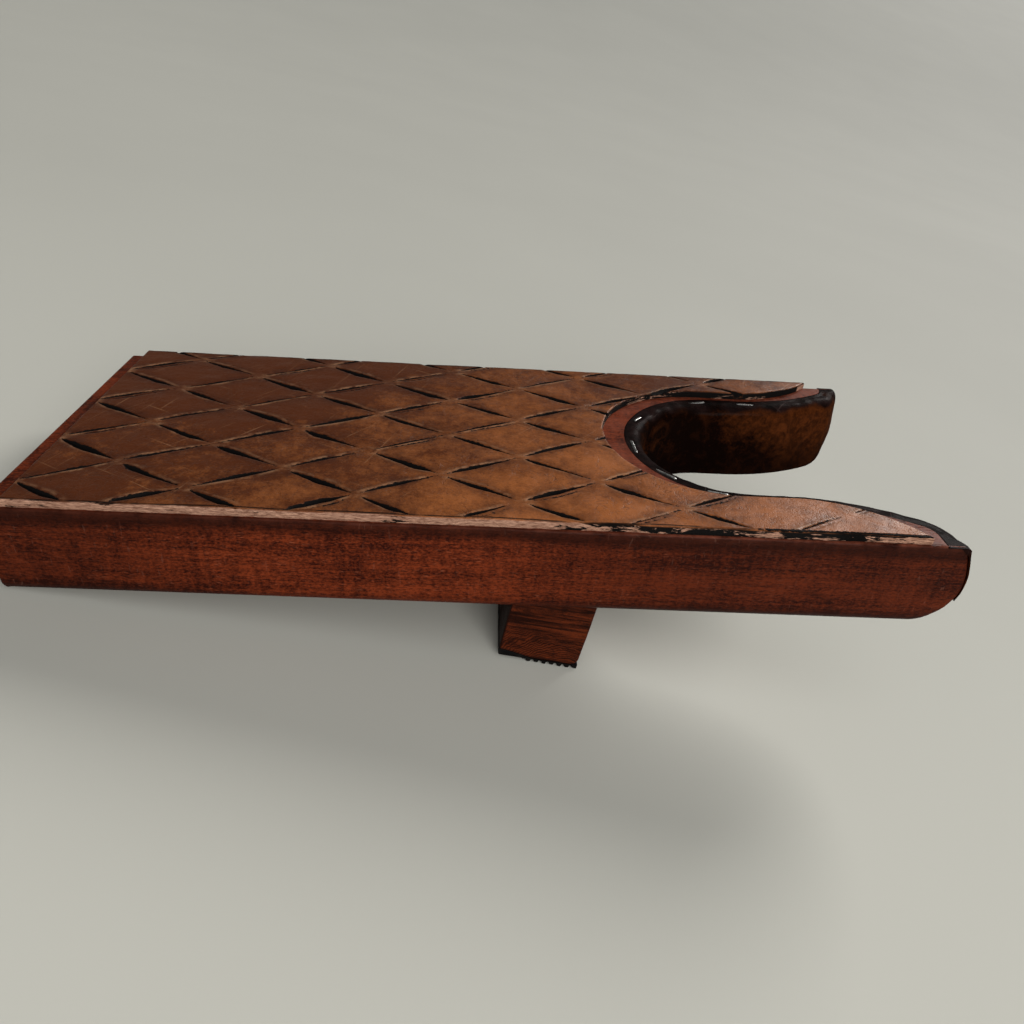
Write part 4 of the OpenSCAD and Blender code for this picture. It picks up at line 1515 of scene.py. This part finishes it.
def make_sun(name, travel, energy, degrees, tint):
    """A distant light travelling one way, its shadows softened by the angle it fills."""
    data = bpy.data.lights.new(name, "SUN")
    data.energy = energy
    data.angle = math.radians(degrees)
    data.color = tint
    show(name, data).matrix_world = Vector(travel).to_track_quat("-Z", "Y").to_matrix().to_4x4()


def make_floor(j):
    """A wide pale floor that tips up gently far behind the jack: flat, then an easy bend, then a slope."""
    u = np.linspace(-1, 1, 25) * FLOOR_HALF
    y = np.linspace(FLOOR_NEAR, FLOOR_FAR, 65)
    bent = np.clip(y - BEND_START, 0, BEND_LENGTH)
    beyond = np.clip(y - BEND_START - BEND_LENGTH, 0, None)
    z = FLOOR_SLOPE * (bent**2 / (2 * BEND_LENGTH) + beyond)
    u_grid, y_grid = np.meshgrid(u, y, indexing="ij")
    z_grid = np.broadcast_to(z, y_grid.shape)
    points = np.stack([u_grid, y_grid, z_grid], axis=-1)
    mesh = bpy.data.meshes.new("floor")
    mesh.from_pydata(points.reshape(-1, 3).tolist(), [], grid_quads(*u_grid.shape).tolist())
    mesh.shade_smooth()
    mesh.materials.append(floor_finish(j))
    show("floor", mesh)


# ---------------------------------------------------------------- operators


class BOOT_JACK_OT_board(bpy.types.Operator):
    """Make the hardwood board."""

    bl_idname = "boot_jack.board"
    bl_label = "Board"

    def execute(self, context):
        j = jack_sizes()
        finish = wood_finish(j)
        place_piece(board_mesh(j), "board", finish)
        return {"FINISHED"}


class BOOT_JACK_OT_leather_top(bpy.types.Operator):
    """Make the carved leather top."""

    bl_idname = "boot_jack.leather_top"
    bl_label = "Leather Top"

    def execute(self, context):
        j = jack_sizes()
        place_piece(leather_mesh(j), "leather_top", leather_finish(j), sharp=50)
        return {"FINISHED"}


class BOOT_JACK_OT_notch_lining(bpy.types.Operator):
    """Make the lining that rolls over the notch's edge."""

    bl_idname = "boot_jack.notch_lining"
    bl_label = "Notch Lining"

    def execute(self, context):
        j = jack_sizes()
        place_piece(lining_mesh(j), "notch_lining", lining_finish(j), sharp=60)
        return {"FINISHED"}


class BOOT_JACK_OT_lining_staples(bpy.types.Operator):
    """Make the staples that hold the lining's rim."""

    bl_idname = "boot_jack.lining_staples"
    bl_label = "Lining Staples"

    def execute(self, context):
        j = jack_sizes()
        finish = steel_finish("staple_steel", STAPLE_BRIGHT, STAPLE_TARNISH, 0.26)
        place_piece(staples_mesh(j), "lining_staples", finish, sharp=60)
        return {"FINISHED"}


class BOOT_JACK_OT_cleat(bpy.types.Operator):
    """Make the cleat and its ribbed rubber tread."""

    bl_idname = "boot_jack.cleat"
    bl_label = "Cleat and Tread"

    def execute(self, context):
        j = jack_sizes()
        place_piece(cleat_mesh(j), "cleat", cleat_finish(j))
        place_piece(tread_mesh(j), "cleat_tread", rubber_finish())
        return {"FINISHED"}


class BOOT_JACK_OT_cleat_screws(bpy.types.Operator):
    """Give the cleat's screws their steel finish."""

    bl_idname = "boot_jack.cleat_screws"
    bl_label = "Cleat Screws"

    def execute(self, context):
        finish = steel_finish("screw_steel", SCREW_BRIGHT, SCREW_TARNISH, 0.32)
        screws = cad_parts["cleat_screws"]
        for material_slot in screws.material_slots:
            material_slot.material = finish
        return {"FINISHED"}


class BOOT_JACK_OT_stage(bpy.types.Operator):
    """Make the floor, the soft lights and the camera."""

    bl_idname = "boot_jack.stage"
    bl_label = "Stage"

    def execute(self, context):
        j = jack_sizes()
        make_camera()
        make_floor(j)
        make_sun("key", KEY_TRAVEL, 2.28, 25, (1.0, 0.97, 0.93))
        make_light("front", FRONT_PLACE, FRONT_AIM, (0.8, 0.5), 8.0, (1.0, 0.98, 0.95))
        make_sun("sky_light", SKY_TRAVEL, 1.0, 75, (1.0, 1.0, 1.0))
        world = bpy.data.worlds.new("studio")
        world.use_nodes = True
        sky = world.node_tree.nodes["Background"].inputs
        sky["Color"].default_value = SKY
        sky["Strength"].default_value = SKY_STRENGTH
        context.scene.world = world
        context.scene.view_settings.view_transform = "Standard"
        return {"FINISHED"}


STEPS = (
    BOOT_JACK_OT_board,
    BOOT_JACK_OT_leather_top,
    BOOT_JACK_OT_notch_lining,
    BOOT_JACK_OT_lining_staples,
    BOOT_JACK_OT_cleat,
    BOOT_JACK_OT_cleat_screws,
    BOOT_JACK_OT_stage,
)


class BOOT_JACK_PT_panel(bpy.types.Panel):
    """Lists the steps that make the boot jack and its sizes and colours."""

    bl_idname = "BOOT_JACK_PT_panel"
    bl_label = "Boot Jack"
    bl_space_type = "VIEW_3D"
    bl_region_type = "UI"
    bl_category = "Boot Jack"

    def draw(self, context):
        for step in STEPS:
            self.layout.operator(step.bl_idname)
        for place, group in SIZE_GROUPS.items():
            box = self.layout.box()
            for name in group.__annotations__:
                box.prop(getattr(context.scene, place), name)


def register():
    """Registers the sizes, the operators and the panel."""
    for place, group in SIZE_GROUPS.items():
        bpy.utils.register_class(group)
        setattr(bpy.types.Scene, place, PointerProperty(type=group))
    for step in STEPS + (BOOT_JACK_PT_panel,):
        bpy.utils.register_class(step)


def unregister():
    """Takes them away again."""
    for step in STEPS + (BOOT_JACK_PT_panel,):
        bpy.utils.unregister_class(step)
    for place, group in SIZE_GROUPS.items():
        delattr(bpy.types.Scene, place)
        bpy.utils.unregister_class(group)


def main():
    """Registers everything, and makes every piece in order."""
    register()
    for step in STEPS:
        operator_group, operator_name = step.bl_idname.split(".")
        getattr(getattr(bpy.ops, operator_group), operator_name)()
    bpy.context.view_layer.update()


if __name__ == "__main__":
    main()
